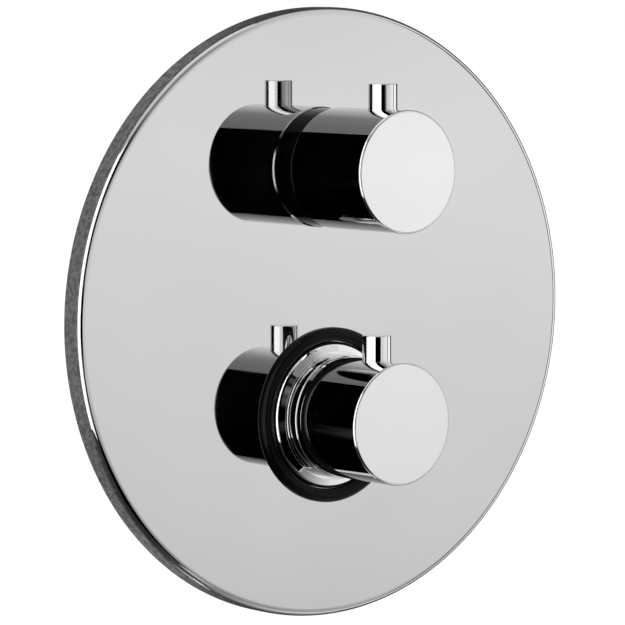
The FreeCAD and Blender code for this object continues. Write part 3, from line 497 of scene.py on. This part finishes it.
class StageSettings(bpy.types.PropertyGroup):
    azimuth: bpy.props.FloatProperty(
        name="Azimuth", description="Camera to the right of straight ahead", default=math.radians(-38.19),
        subtype="ANGLE")
    elevation: bpy.props.FloatProperty(
        name="Elevation", description="Camera above the horizon", default=math.radians(4.84), subtype="ANGLE")
    distance: bpy.props.FloatProperty(
        name="Distance", description="Camera to the point it looks at", default=1.441, unit="LENGTH")
    target: bpy.props.FloatVectorProperty(
        name="Target", description="Point that the camera looks at", default=(-0.92 * MM, 0.0, -0.33 * MM),
        subtype="XYZ", unit="LENGTH")
    lens: bpy.props.FloatProperty(
        name="Lens", description="Focal length in mm on a 36 mm sensor", default=229.25, min=1)
    floor_drop: bpy.props.FloatProperty(
        name="Floor", description="Height of the valve's centre above the floor", default=1.4, unit="LENGTH")
    studio_radius: bpy.props.FloatProperty(
        name="Studio radius", description="Distance of the light panels", default=1.3, unit="LENGTH")


def settings(name):
    """Values of a settings group in the current scene."""
    return getattr(bpy.context.scene, name)


# ---- shared finishes, made once each ----
def finish(name, maker, **values):
    return bpy.data.materials.get(name) or maker(name, **values)


def chrome():
    return finish("chrome_plating", mirror_metal, tone=settings("valve_knobs").tone, polish=0.03, wave=0.01 * MM)


def black_rubber():
    return finish("soft_black_rubber", moulded, dark=grey(0.001), light=grey(0.003), rough=0.3, grain=0.002 * MM,
                  specular=0.12)


def spring_steel():
    return finish("spring_wire", plain_steel, tone=0.42, rough=0.22)


# ---- pieces ----
class VALVE_OT_wall_plate(bpy.types.Operator):
    """Builds the round plate: polished face with a rolled edge, plain rim, two holes and a hollow back"""
    bl_idname = "shower_valve.wall_plate"
    bl_label = "Wall plate"

    def face(self, front, outward, outer_radius):
        """Flat disc with the two holes: a pierced grid in the middle, and loops that blend from its
        border to the outer circle. Also returns the outer circle's angles and each hole's angles."""
        s = settings("valve_plate")
        half, low, high, step, square, loop_count = 30 * MM, -67 * MM, 83 * MM, 1.5 * MM, 25.5 * MM, 9
        u = np.linspace(-half, half, round(2 * half / step) + 1)
        v = np.linspace(low, high, round((high - low) / step) + 1)
        holes = [(0.0, z, s.hole_radius, square, None) for z in (UPPER_Z, LOWER_Z)]
        flat, quads, hole_angles = pierced_grid(u, v, holes)
        index = np.arange(len(u) * len(v)).reshape(len(u), len(v))
        border = np.concatenate([index[:-1, 0], index[-1, :-1], index[:0:-1, -1], index[0, :0:-1]])
        border = np.append(border, border[0])
        start = math.atan2(v[0], u[0])
        around = start + np.linspace(0, 2 * math.pi, len(border))
        circle = outer_radius * np.stack([np.cos(around), np.sin(around)], -1)
        t = np.linspace(0, 1, loop_count)[:, None, None]
        loops = (flat[border] * (1 - t) + circle * t).reshape(-1, 2)
        points = np.vstack([flat, loops])
        cells = np.vstack([quads, grid_quads(loop_count, len(border)) + len(flat)])
        xyz = np.stack([points[:, 0], np.full(len(points), -front), points[:, 1]], -1)
        normals = np.tile((0.0, -outward, 0.0), (len(points), 1))
        return (xyz, normals, cells), around, hole_angles

    def execute(self, context):
        s = settings("valve_plate")
        lead_r = s.lead_width / math.sin(s.lead_slope)
        meets = math.atan2(s.edge_drop, s.edge_width * math.tan(s.lead_slope))
        lead_front = PLATE_FRONT - lead_r * (1 - math.cos(s.lead_slope))
        centre = (PLATE_R - s.edge_width, lead_front - s.edge_drop * math.sin(meets))
        flat_r = centre[0] + s.edge_width * math.cos(meets) - s.lead_width
        inner_r, back = PLATE_R - s.sheet, PLATE_FRONT - s.sheet
        polished, meets = math.degrees(s.polished_from), math.degrees(meets)
        front_face, around, hole_angles = self.face(PLATE_FRONT, 1.0, flat_r)
        back_face, _, _ = self.face(back, -1.0, inner_r)
        lead = arc((flat_r, PLATE_FRONT - lead_r), lead_r, 90 - math.degrees(s.lead_slope), 90)
        edge = ellipse(centre, s.edge_width, s.edge_drop, polished, meets)
        bright = [front_face, turn(lead, 0.0, around), turn(edge, 0.0, around)]
        rim = [turn(line((PLATE_R, 0), (PLATE_R, centre[1])), 0.0, around),
               turn(ellipse(centre, s.edge_width, s.edge_drop, 0, polished), 0.0, around)]
        inside = [back_face, turn(line((inner_r, back), (inner_r, 0)), 0.0, around),
                  turn(line((inner_r, 0), (PLATE_R, 0)), 0.0, around)]
        for z, angles in zip((UPPER_Z, LOWER_Z), hole_angles):
            inside.append(turn(line((s.hole_radius, PLATE_FRONT), (s.hole_radius, back)), z, angles))
        materials = [finish("polished_plate", mirror_metal, tone=s.tone, polish=0.03, wave=0.01 * MM),
                     finish("plain_rim", raw_rim, tone=s.rim_tone),
                     finish("stamped_steel", plain_steel, tone=0.42, rough=0.52)]
        patches = [(patch, number) for number, group in enumerate((bright, rim, inside)) for patch in group]
        mesh_piece("polished_wall_plate", FIXED, "wall_plate", patches, materials)
        return {"FINISHED"}


class VALVE_OT_knobs(bpy.types.Operator):
    """Builds both knobs with the holes for their lever pins and grub screws"""
    bl_idname = "shower_valve.knobs"
    bl_label = "Knobs"

    def well(self, height, front, side, radius, corners, mouth, bend, angles):
        """Walls of a radial hole, side 1 upwards and -1 downwards. The mouth's edge is a quarter round
        from the saddle-shaped rim on the knob's side into the hole, and corners carry it on down."""
        a, count = angles[:, None], len(angles)
        tau = np.radians(np.linspace(0, 90, 5))
        r = radius + mouth * (1 - np.sin(tau))
        rim = np.sqrt(bend ** 2 - (r * np.cos(a)) ** 2)
        z = rim - mouth * (1 - np.cos(tau))
        xyz = np.stack([r * np.cos(a), -(front + r * np.sin(a)), height + side * z], -1)
        out = np.stack([-np.sin(tau) * np.cos(a), np.sin(tau) * np.sin(a),
                        side * np.cos(tau) * np.ones_like(a)], -1)
        patches = [(xyz.reshape(-1, 3), out.reshape(-1, 3), grid_quads(count, len(tau)))]
        wall = np.stack([-np.cos(a), np.sin(a), 0 * a], -1)
        ledge = np.stack([0 * a, 0 * a, side + 0 * a], -1)
        r0, z0 = radius, z[:, -1]
        for r1, z1 in corners:
            rr = np.tile((r0, r1), (count, 1))
            zz = np.stack([z0, np.full(count, z1)], -1)
            xyz = np.stack([rr * np.cos(a), -(front + rr * np.sin(a)), height + side * zz], -1)
            out = np.repeat(wall if r1 == r0 else ledge, 2, axis=1)
            patches.append((xyz.reshape(-1, 3), out.reshape(-1, 3), grid_quads(count, 2)))
            r0, z0 = r1, np.full(count, z1)
        return patches

    def execute(self, context):
        s = settings("valve_knobs")
        for label, body in KNOB_BODIES.items():
            node = label + "_knob"
            radius, back, face = reach(node)
            height = LOWER_Z if label == "temperature" else UPPER_Z
            pin_low, pin_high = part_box(node + "_pin")
            grub_low, grub_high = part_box(label + "_grub_screw")
            pin_front, grub_front = -(pin_low.y + pin_high.y) / 2, -(grub_low.y + grub_high.y) / 2
            pin_r, grub_r = (pin_high.x - pin_low.x) / 2 + s.fit, (grub_high.x - grub_low.x) / 2 + s.fit
            stud_end, seat = pin_low.z - height - s.fit, pin_low.z - height + s.stud_length
            grub_end = s.hub_bore + s.fit
            hub, floor, e, c = face - s.hub_length, face - s.hub_floor, s.edge_round, s.back_chamfer
            side_low, side_high = back + c, face - e
            quarter, step, pin_square, grub_square = math.pi * radius / 2, 0.7 * MM, 7 * MM, 4.2 * MM
            u = np.linspace(-2 * quarter, 2 * quarter, 193)
            v = np.concatenate([[side_low], np.arange(grub_front - 6 * MM, pin_front + 8 * MM, step), [side_high]])
            holes = [(quarter, pin_front, pin_r + s.mouth, pin_square, radius),
                     (-quarter, grub_front, grub_r + s.mouth, grub_square, radius)]
            flat, quads, hole_angles = pierced_grid(u, v, holes)
            a = flat[:, 0] / radius
            xyz = np.stack([radius * np.cos(a), -flat[:, 1], height + radius * np.sin(a)], -1)
            side = (xyz, np.stack([np.cos(a), 0 * a, np.sin(a)], -1), quads)
            around = u / radius
            profile = [line((0, floor), (s.hub_bore, floor)), line((s.hub_bore, floor), (s.hub_bore, hub)),
                       line((s.hub_bore, hub), (s.cavity_radius, hub)),
                       line((s.cavity_radius, hub), (s.cavity_radius, back)),
                       line((s.cavity_radius, back), (radius - c, back)),
                       line((radius - c, back), (radius, side_low)),
                       arc((radius - e, side_high), e, 0, 90), line((radius - e, face), (0, face))]
            patches = [side] + [turn(stretch, height, around) for stretch in profile]
            pin_angles, grub_angles = hole_angles
            pin_corners = [(pin_r, seat), (s.stud_radius, seat), (s.stud_radius, stud_end), (0.0, stud_end)]
            grub_corners = [(grub_r, grub_end), (0.0, grub_end)]
            patches += self.well(height, pin_front, 1, pin_r, pin_corners, s.mouth, radius, math.pi - pin_angles)
            patches += self.well(height, grub_front, -1, grub_r, grub_corners, s.mouth, radius, grub_angles)
            mesh_piece("chrome_" + node, body, node, [(patch, 0) for patch in patches], [chrome()])
        return {"FINISHED"}


class VALVE_OT_lever_pins(bpy.types.Operator):
    """Builds the lever pin of each knob"""
    bl_idname = "shower_valve.lever_pins"
    bl_label = "Lever pins"

    def upright(self, stretch, x, y, angles):
        """Carries a profile of (radius, height) round a vertical line at x, y."""
        (points, normals), a = stretch, angles[:, None]
        r, z = points[:, 0], points[:, 1]
        flat = np.ones_like(a)
        xyz = np.stack([x + r * np.cos(a), y + r * np.sin(a), z * flat], -1)
        out = np.stack([normals[:, 0] * np.cos(a), normals[:, 0] * np.sin(a), normals[:, 1] * flat], -1)
        return xyz.reshape(-1, 3), out.reshape(-1, 3), grid_quads(len(angles), len(points))

    def execute(self, context):
        s = settings("valve_knobs")
        angles = full_turn(96)
        for label, body in KNOB_BODIES.items():
            node = label + "_knob_pin"
            low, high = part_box(node)
            radius, x, y = (high.x - low.x) / 2, (low.x + high.x) / 2, (low.y + high.y) / 2
            e, stud, seat = s.pin_edge, s.stud_radius - s.fit, low.z + s.stud_length
            profile = [line((0, low.z), (stud, low.z)), line((stud, low.z), (stud, seat)),
                       line((stud, seat), (radius, seat)), line((radius, seat), (radius, high.z - e)),
                       arc((radius - e, high.z - e), e, 0, 90, 8), line((radius - e, high.z), (0, high.z))]
            patches = [(self.upright(stretch, x, y, angles), 0) for stretch in profile]
            mesh_piece("chrome_" + node, body, node, patches, [chrome()])
        return {"FINISHED"}


class VALVE_OT_trim_rings(bpy.types.Operator):
    """Builds the black ring of the upper knob, and the rubber ring, bell flange and collar of the lower"""
    bl_idname = "shower_valve.trim_rings"
    bl_label = "Trim rings"

    def ring(self, name, slot, node, height, profile, material):
        patches = [(turn(stretch, height, full_turn()), 0) for stretch in profile]
        mesh_piece(name, FIXED, node, patches, [material])

    def inner_radius(self, node):
        """Radius of a ring's bore, from the frame's own points."""
        mesh = frame["nodes"][node].data
        co = np.empty(len(mesh.vertices) * 3, np.float32)
        mesh.vertices.foreach_get("co", co)
        co = co.reshape(-1, 3)
        return float(np.hypot(co[:, 0], co[:, 2] - axis_height(node)).min())

    def execute(self, context):
        s = settings("valve_trim")
        self.guide_ring(s)
        self.rubber_ring(s)
        self.bell_flange(s)
        self.collar(s)
        return {"FINISHED"}

    def guide_ring(self, s):
        radius, low, high = reach("upper_guide_ring")
        bore, e = self.inner_radius("upper_guide_ring"), s.guide_edge
        profile = [line((bore, low), (radius, low)), line((radius, low), (radius, high - e)),
                   arc((radius - e, high - e), e, 0, 90, 8), line((radius - e, high), (bore, high)),
                   line((bore, high), (bore, low))]
        gloss = finish("glossy_black_moulding", moulded, dark=grey(0.001), light=grey(0.002), rough=0.08,
                       grain=0.0006 * MM, specular=0.12)
        self.ring("black_guide_ring", "black_gloss_plastic", "upper_guide_ring", UPPER_Z, profile, gloss)

    def rubber_ring(self, s):
        radius, low, high = reach("rubber_ring")
        bore = self.inner_radius("rubber_ring")
        middle, half, base = (radius + bore) / 2, (radius - bore) / 2, low + (high - low) * s.rubber_foot
        rise = high - base
        profile = [line((bore, low), (radius, low)), line((radius, low), (radius, base)),
                   ellipse((middle, base), half, rise, 0, 180, 48), line((bore, base), (bore, low))]
        self.ring("black_rubber_ring", "black_rubber", "rubber_ring", LOWER_Z, profile, black_rubber())

    def bell_flange(self, s):
        radius, low, high = reach("bell_flange")
        bore, r, slope = self.inner_radius("bell_flange"), s.flange_shoulder, s.flange_slope
        shoulder = (radius - r + r * math.sin(slope), low + r * math.cos(slope))
        top_r = shoulder[0] - (high - shoulder[1]) / math.tan(slope)
        e = s.flange_edge
        edge = (top_r - e * math.tan(slope / 2), high - e)
        cone_end = (edge[0] + e * math.sin(slope), edge[1] + e * math.cos(slope))
        profile = [line((bore, low), (radius, low)), arc((radius - r, low), r, 0, 90 - math.degrees(slope), 24),
                   line(shoulder, cone_end), arc(edge, e, 90 - math.degrees(slope), 90, 6),
                   line((edge[0], high), (bore, high)), line((bore, high), (bore, low))]
        self.ring("chrome_bell_flange", "chrome", "bell_flange", LOWER_Z, profile, chrome())

    def collar(self, s):
        radius, low, high = reach("grooved_collar")
        bore, e, top = self.inner_radius("grooved_collar"), s.collar_edge, low + s.collar_length
        profile = [line((bore, low), (radius - e, low)), arc((radius - e, low + e), e, -90, 0, 8),
                   line((radius, low + e), (radius, top - e)), arc((radius - e, top - e), e, 0, 90, 8),
                   line((radius - e, top), (s.collar_neck, top)),
                   line((s.collar_neck, top), (s.collar_neck, high)),
                   line((s.collar_neck, high), (bore, high)), line((bore, high), (bore, low))]
        self.ring("chrome_grooved_collar", "chrome", "grooved_collar", LOWER_Z, profile, chrome())


class VALVE_OT_springs(bpy.types.Operator):
    """Builds the springs that a moving part presses"""
    bl_idname = "shower_valve.springs"
    bl_label = "Springs"

    def spring(self, node, mover, axis, side, wire, turns):
        """Coil across the node's box, which stays where it is built; mover is not used. axis is 0 or 1 for the x or y
        direction, and side the way along it from the coil's first end."""
        low, high = (np.array(corner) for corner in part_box(node))
        start, end = (low + high) / 2, (low + high) / 2
        start[axis], end[axis] = (low[axis], high[axis]) if side > 0 else (high[axis], low[axis])
        ahead = side * np.eye(3)[axis]
        across = np.eye(3)[1 - axis]
        turned = np.array([across, np.cross(ahead, across), ahead])
        patches = [((points @ turned + start, normals @ turned, quads), 0)
                   for points, normals, quads in coil((high - low)[2] / 2, wire, turns, (high - low)[axis])]
        piece = mesh_piece("steel_" + node, None, node, patches, [spring_steel()])
        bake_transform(piece)

    def execute(self, context):
        s = settings("valve_springs")
        self.spring("return_spring", "thermostat_shuttle", 1, -1, s.return_wire, s.return_turns)
        for label, side in (("hot", -1), ("cold", 1)):
            self.spring(label + "_check_valve_spring", label + "_check_poppet", 0, side, s.check_wire,
                        s.check_turns)
        return {"FINISHED"}


class VALVE_OT_concealed_parts(bpy.types.Operator):
    """Gives every part that keeps its CAD shape its finish"""
    bl_idname = "shower_valve.concealed_parts"
    bl_label = "Concealed parts"

    def execute(self, context):
        finishes = {
            "chrome": chrome(),
            "black_rubber": black_rubber(),
            "stainless_steel": finish("turned_stainless", plain_steel, tone=0.55, rough=0.28),
            "spring_steel": spring_steel(),
            "brass": finish("cast_brass", cast_brass),
            "foam": finish("seal_foam", moulded, dark=grey(0.02), light=grey(0.045), rough=0.8, grain=0.12 * MM),
            "nylon": finish("natural_nylon", moulded, dark=(0.70, 0.68, 0.62), light=(0.80, 0.78, 0.72),
                            rough=0.4, grain=0.02 * MM),
            "grey_plastic": finish("filled_plastic", moulded, dark=(0.05, 0.052, 0.056),
                                   light=(0.08, 0.082, 0.088), rough=0.45, grain=0.03 * MM),
            "white_plastic": finish("white_acetal", moulded, dark=(0.74, 0.74, 0.72), light=(0.82, 0.82, 0.80),
                                    rough=0.35, grain=0.01 * MM),
            "ceramic": finish("lapped_ceramic", moulded, dark=(0.78, 0.77, 0.73), light=(0.86, 0.85, 0.81),
                              rough=0.12, grain=0.002 * MM),
        }
        for part in frame["record"]["subparts"]:
            node, material = frame["nodes"][part["node"]], finishes.get(part["material_slot"])
            if material and not node.hide_render:
                node.data.materials.clear()
                node.data.materials.append(material)
        return {"FINISHED"}


# ---- stage ----
def glow(name):
    """Emission whose strength is read from the mesh's own attribute, radiance."""
    material = bpy.data.materials.new(name)
    material.use_nodes = True
    tree = material.node_tree
    tree.nodes.clear()
    radiance = tree.nodes.new("ShaderNodeAttribute")
    radiance.attribute_name = "radiance"
    emission = tree.nodes.new("ShaderNodeEmission")
    emission.inputs["Color"].default_value = (1, 1, 1, 1)
    output = tree.nodes.new("ShaderNodeOutputMaterial")
    tree.links.new(radiance.outputs["Fac"], emission.inputs["Strength"])
    tree.links.new(emission.outputs["Emission"], output.inputs["Surface"])
    return material


class VALVE_OT_stage(bpy.types.Operator):
    """Builds the floor, the world, the light and dark panels and the camera"""
    bl_idname = "shower_valve.stage"
    bl_label = "Stage"

    ACROSS, UP = 61, 81

    def panel(self, name, heights, left, right, levels):
        """Part of a sphere round the valve: radius times (-sin az cos el, -cos az cos el, sin el).
        heights are elevations. left and right are the azimuths of the panel's edges, one for all
        heights or one for each, in degrees to the left of straight ahead. levels is the brightness, one
        row per height with any number of even steps from the left edge to the right one. Between them
        everything runs in straight lines. The camera doesn't see the panel, but metal does."""
        s = settings("valve_stage")
        el, across = np.linspace(heights[0], heights[-1], self.UP), np.linspace(0, 1, self.ACROSS)
        first, last = (np.interp(el, heights, np.broadcast_to(edge, len(heights))) for edge in (left, right))
        az = np.radians(first + (last - first) * across[:, None])
        el_rad = np.radians(el) * np.ones_like(az)
        xyz = s.studio_radius * np.stack([-np.sin(az) * np.cos(el_rad), -np.cos(az) * np.cos(el_rad),
                                          np.sin(el_rad)], -1)
        rows = np.array([np.interp(across, np.linspace(0, 1, len(row)), row) for row in levels])
        level = np.array([np.interp(el, heights, column) for column in rows.T])
        mesh = bpy.data.meshes.new(name)
        mesh.from_pydata(xyz.reshape(-1, 3).tolist(), [], grid_quads(self.ACROSS, self.UP).tolist())
        glowing = mesh.attributes.new("radiance", "FLOAT", "POINT")
        glowing.data.foreach_set("value", level.astype(np.float32).ravel())
        mesh.materials.append(glow(name))
        obj = bpy.data.objects.new(name, mesh)
        bpy.context.scene.collection.objects.link(obj)
        obj.visible_camera = False

    def floor(self):
        """Wide pale floor. The camera and metal see it as white, and it still takes a faint shadow."""
        size, z = 400.0, -settings("valve_stage").floor_drop
        mesh = bpy.data.meshes.new("floor")
        mesh.from_pydata([(-size, -size, z), (size, -size, z), (size, size, z), (-size, size, z)], [], [(0, 1, 2, 3)])
        material = bpy.data.materials.new("pale_floor")
        material.use_nodes = True
        tree = material.node_tree
        tree.nodes.clear()
        path = tree.nodes.new("ShaderNodeLightPath")
        seen = self.highest(tree, path.outputs["Is Camera Ray"], path.outputs["Is Glossy Ray"],
                            path.outputs["Is Transmission Ray"])
        white = tree.nodes.new("ShaderNodeMath")
        white.operation = "MULTIPLY"
        white.inputs[1].default_value = 0.85
        tree.links.new(seen, white.inputs[0])
        pale = tree.nodes.new("ShaderNodeMix")
        pale.data_type = "RGBA"
        pale.inputs[6].default_value = (0.8, 0.8, 0.8, 1)
        pale.inputs[7].default_value = (0.22, 0.22, 0.22, 1)
        tree.links.new(seen, pale.inputs[0])
        diffuse = tree.nodes.new("ShaderNodeBsdfDiffuse")
        emission = tree.nodes.new("ShaderNodeEmission")
        total = tree.nodes.new("ShaderNodeAddShader")
        output = tree.nodes.new("ShaderNodeOutputMaterial")
        tree.links.new(pale.outputs[2], diffuse.inputs["Color"])
        tree.links.new(white.outputs[0], emission.inputs["Strength"])
        tree.links.new(diffuse.outputs["BSDF"], total.inputs[0])
        tree.links.new(emission.outputs["Emission"], total.inputs[1])
        tree.links.new(total.outputs["Shader"], output.inputs["Surface"])
        mesh.materials.append(material)
        obj = bpy.data.objects.new("floor", mesh)
        bpy.context.scene.collection.objects.link(obj)

    def highest(self, tree, *values):
        """Largest of several values."""
        value = values[0]
        for other in values[1:]:
            node = tree.nodes.new("ShaderNodeMath")
            node.operation = "MAXIMUM"
            tree.links.new(value, node.inputs[0])
            tree.links.new(other, node.inputs[1])
            value = node.outputs[0]
        return value

    def world(self):
        """Even white world at strength 1, for the camera, for metal and as light."""
        world = bpy.data.worlds.new("studio")
        bpy.context.scene.world = world
        world.use_nodes = True
        background = world.node_tree.nodes["Background"]
        background.inputs["Color"].default_value = (1, 1, 1, 1)
        background.inputs["Strength"].default_value = 1.0

    def camera(self):
        s = settings("valve_stage")
        a, e = s.azimuth, s.elevation
        back = Vector((math.sin(a) * math.cos(e), -math.cos(a) * math.cos(e), math.sin(e)))
        data = bpy.data.cameras.new("camera")
        data.sensor_width, data.lens = 36.0, s.lens
        data.clip_start, data.clip_end = 0.05, 100.0
        obj = bpy.data.objects.new("camera", data)
        bpy.context.scene.collection.objects.link(obj)
        obj.location = Vector(s.target) + back * s.distance
        obj.rotation_mode = "QUATERNION"
        obj.rotation_quaternion = (-back).to_track_quat("-Z", "Y")
        bpy.context.scene.camera = obj

    def execute(self, context):
        self.floor()
        self.world()
        rows = tuple(FLAG_SHADE)
        ends = np.interp(rows, *FLAG_RIGHT)
        levels = [np.interp(-np.linspace(FLAG_LEFT, end, self.ACROSS), [-a for a, _ in row], [v for _, v in row])
                  for end, row in zip(ends, FLAG_SHADE.values())]
        self.panel("camera_flag", rows, FLAG_LEFT, ends, levels)
        self.panel("left_softbox", (-34, 48), SOFTBOX_LEFT, FLAG_LEFT, ((1.8,), (1.8,)))
        rows = (42, 50, 57, 75)
        self.panel("ceiling_front", rows, FLAG_LEFT, np.interp(rows, *FLAG_RIGHT), ((0.22,), (0.3,), (0.8,), (0.8,)))
        self.panel("ceiling_left", (48, 54, 75), REAR_LEFT, FLAG_LEFT, ((0.4,), (0.8,), (0.8,)))
        self.panel("floor_left", (-53, -34), REAR_LEFT, FLAG_LEFT, ((0.05,), (0.05,)))
        self.panel("floor_card", (-88, -72, -53), REAR_LEFT, REAR_RIGHT,
                   ((0.15,) * 11, (*(0.04,) * 5, 0.1, 0.3, 0.4, 0.2, 0.1, 0.1),
                    (*(0.04,) * 5, 0.2, 0.6, 0.95, 0.3, 0.08, 0.08)))
        rows = tuple(FRONT_GLOW)
        self.panel("front_light", rows, np.interp(rows, *FLAG_RIGHT), GAP_LEFT, FRONT_GLOW.values())
        self.panel("light_gap", (-53, -32, 22, 34, 75), GAP_LEFT, GAP_RIGHT,
                   ((0.9,), (0.12,), (0.12,), (0.8,), (0.8,)))
        self.panel("right_softbox", (-53, 0, 75), GAP_RIGHT, SOFTBOX_RIGHT, ((0.95,), (1.3,), (0.7,)))
        self.panel("right_flag", (-53, 75), SOFTBOX_RIGHT, REAR_RIGHT, ((0.1,), (0.1,)))
        self.camera()
        context.scene.view_settings.view_transform = "Standard"
        return {"FINISHED"}


class VALVE_PT_panel(bpy.types.Panel):
    """Lists the building steps and their settings"""
    bl_idname = "VALVE_PT_panel"
    bl_label = "Shower valve"
    bl_space_type = "VIEW_3D"
    bl_region_type = "UI"
    bl_category = "Shower valve"

    def draw(self, context):
        for operator in STEPS:
            self.layout.operator(operator.bl_idname)
        for name in SETTINGS:
            group = getattr(context.scene, name)
            box = self.layout.box()
            for key in group.bl_rna.properties.keys():
                if key not in ("rna_type", "name"):
                    box.prop(group, key)


STEPS = (VALVE_OT_wall_plate, VALVE_OT_knobs, VALVE_OT_lever_pins, VALVE_OT_trim_rings, VALVE_OT_springs,
         VALVE_OT_concealed_parts, VALVE_OT_stage)
SETTINGS = {"valve_plate": PlateSettings, "valve_knobs": KnobSettings, "valve_trim": TrimSettings,
            "valve_springs": SpringSettings, "valve_stage": StageSettings}


def register():
    for cls in (*SETTINGS.values(), *STEPS, VALVE_PT_panel):
        bpy.utils.register_class(cls)
    for name, group in SETTINGS.items():
        setattr(bpy.types.Scene, name, bpy.props.PointerProperty(type=group))


def unregister():
    for name in SETTINGS:
        delattr(bpy.types.Scene, name)
    for cls in (VALVE_PT_panel, *STEPS, *SETTINGS.values()):
        bpy.utils.unregister_class(cls)


def main():
    """Builds everything in order."""
    register()
    for operator in STEPS:
        group, name = operator.bl_idname.split(".")
        getattr(getattr(bpy.ops, group), name)()


if __name__ == "__main__":
    main()
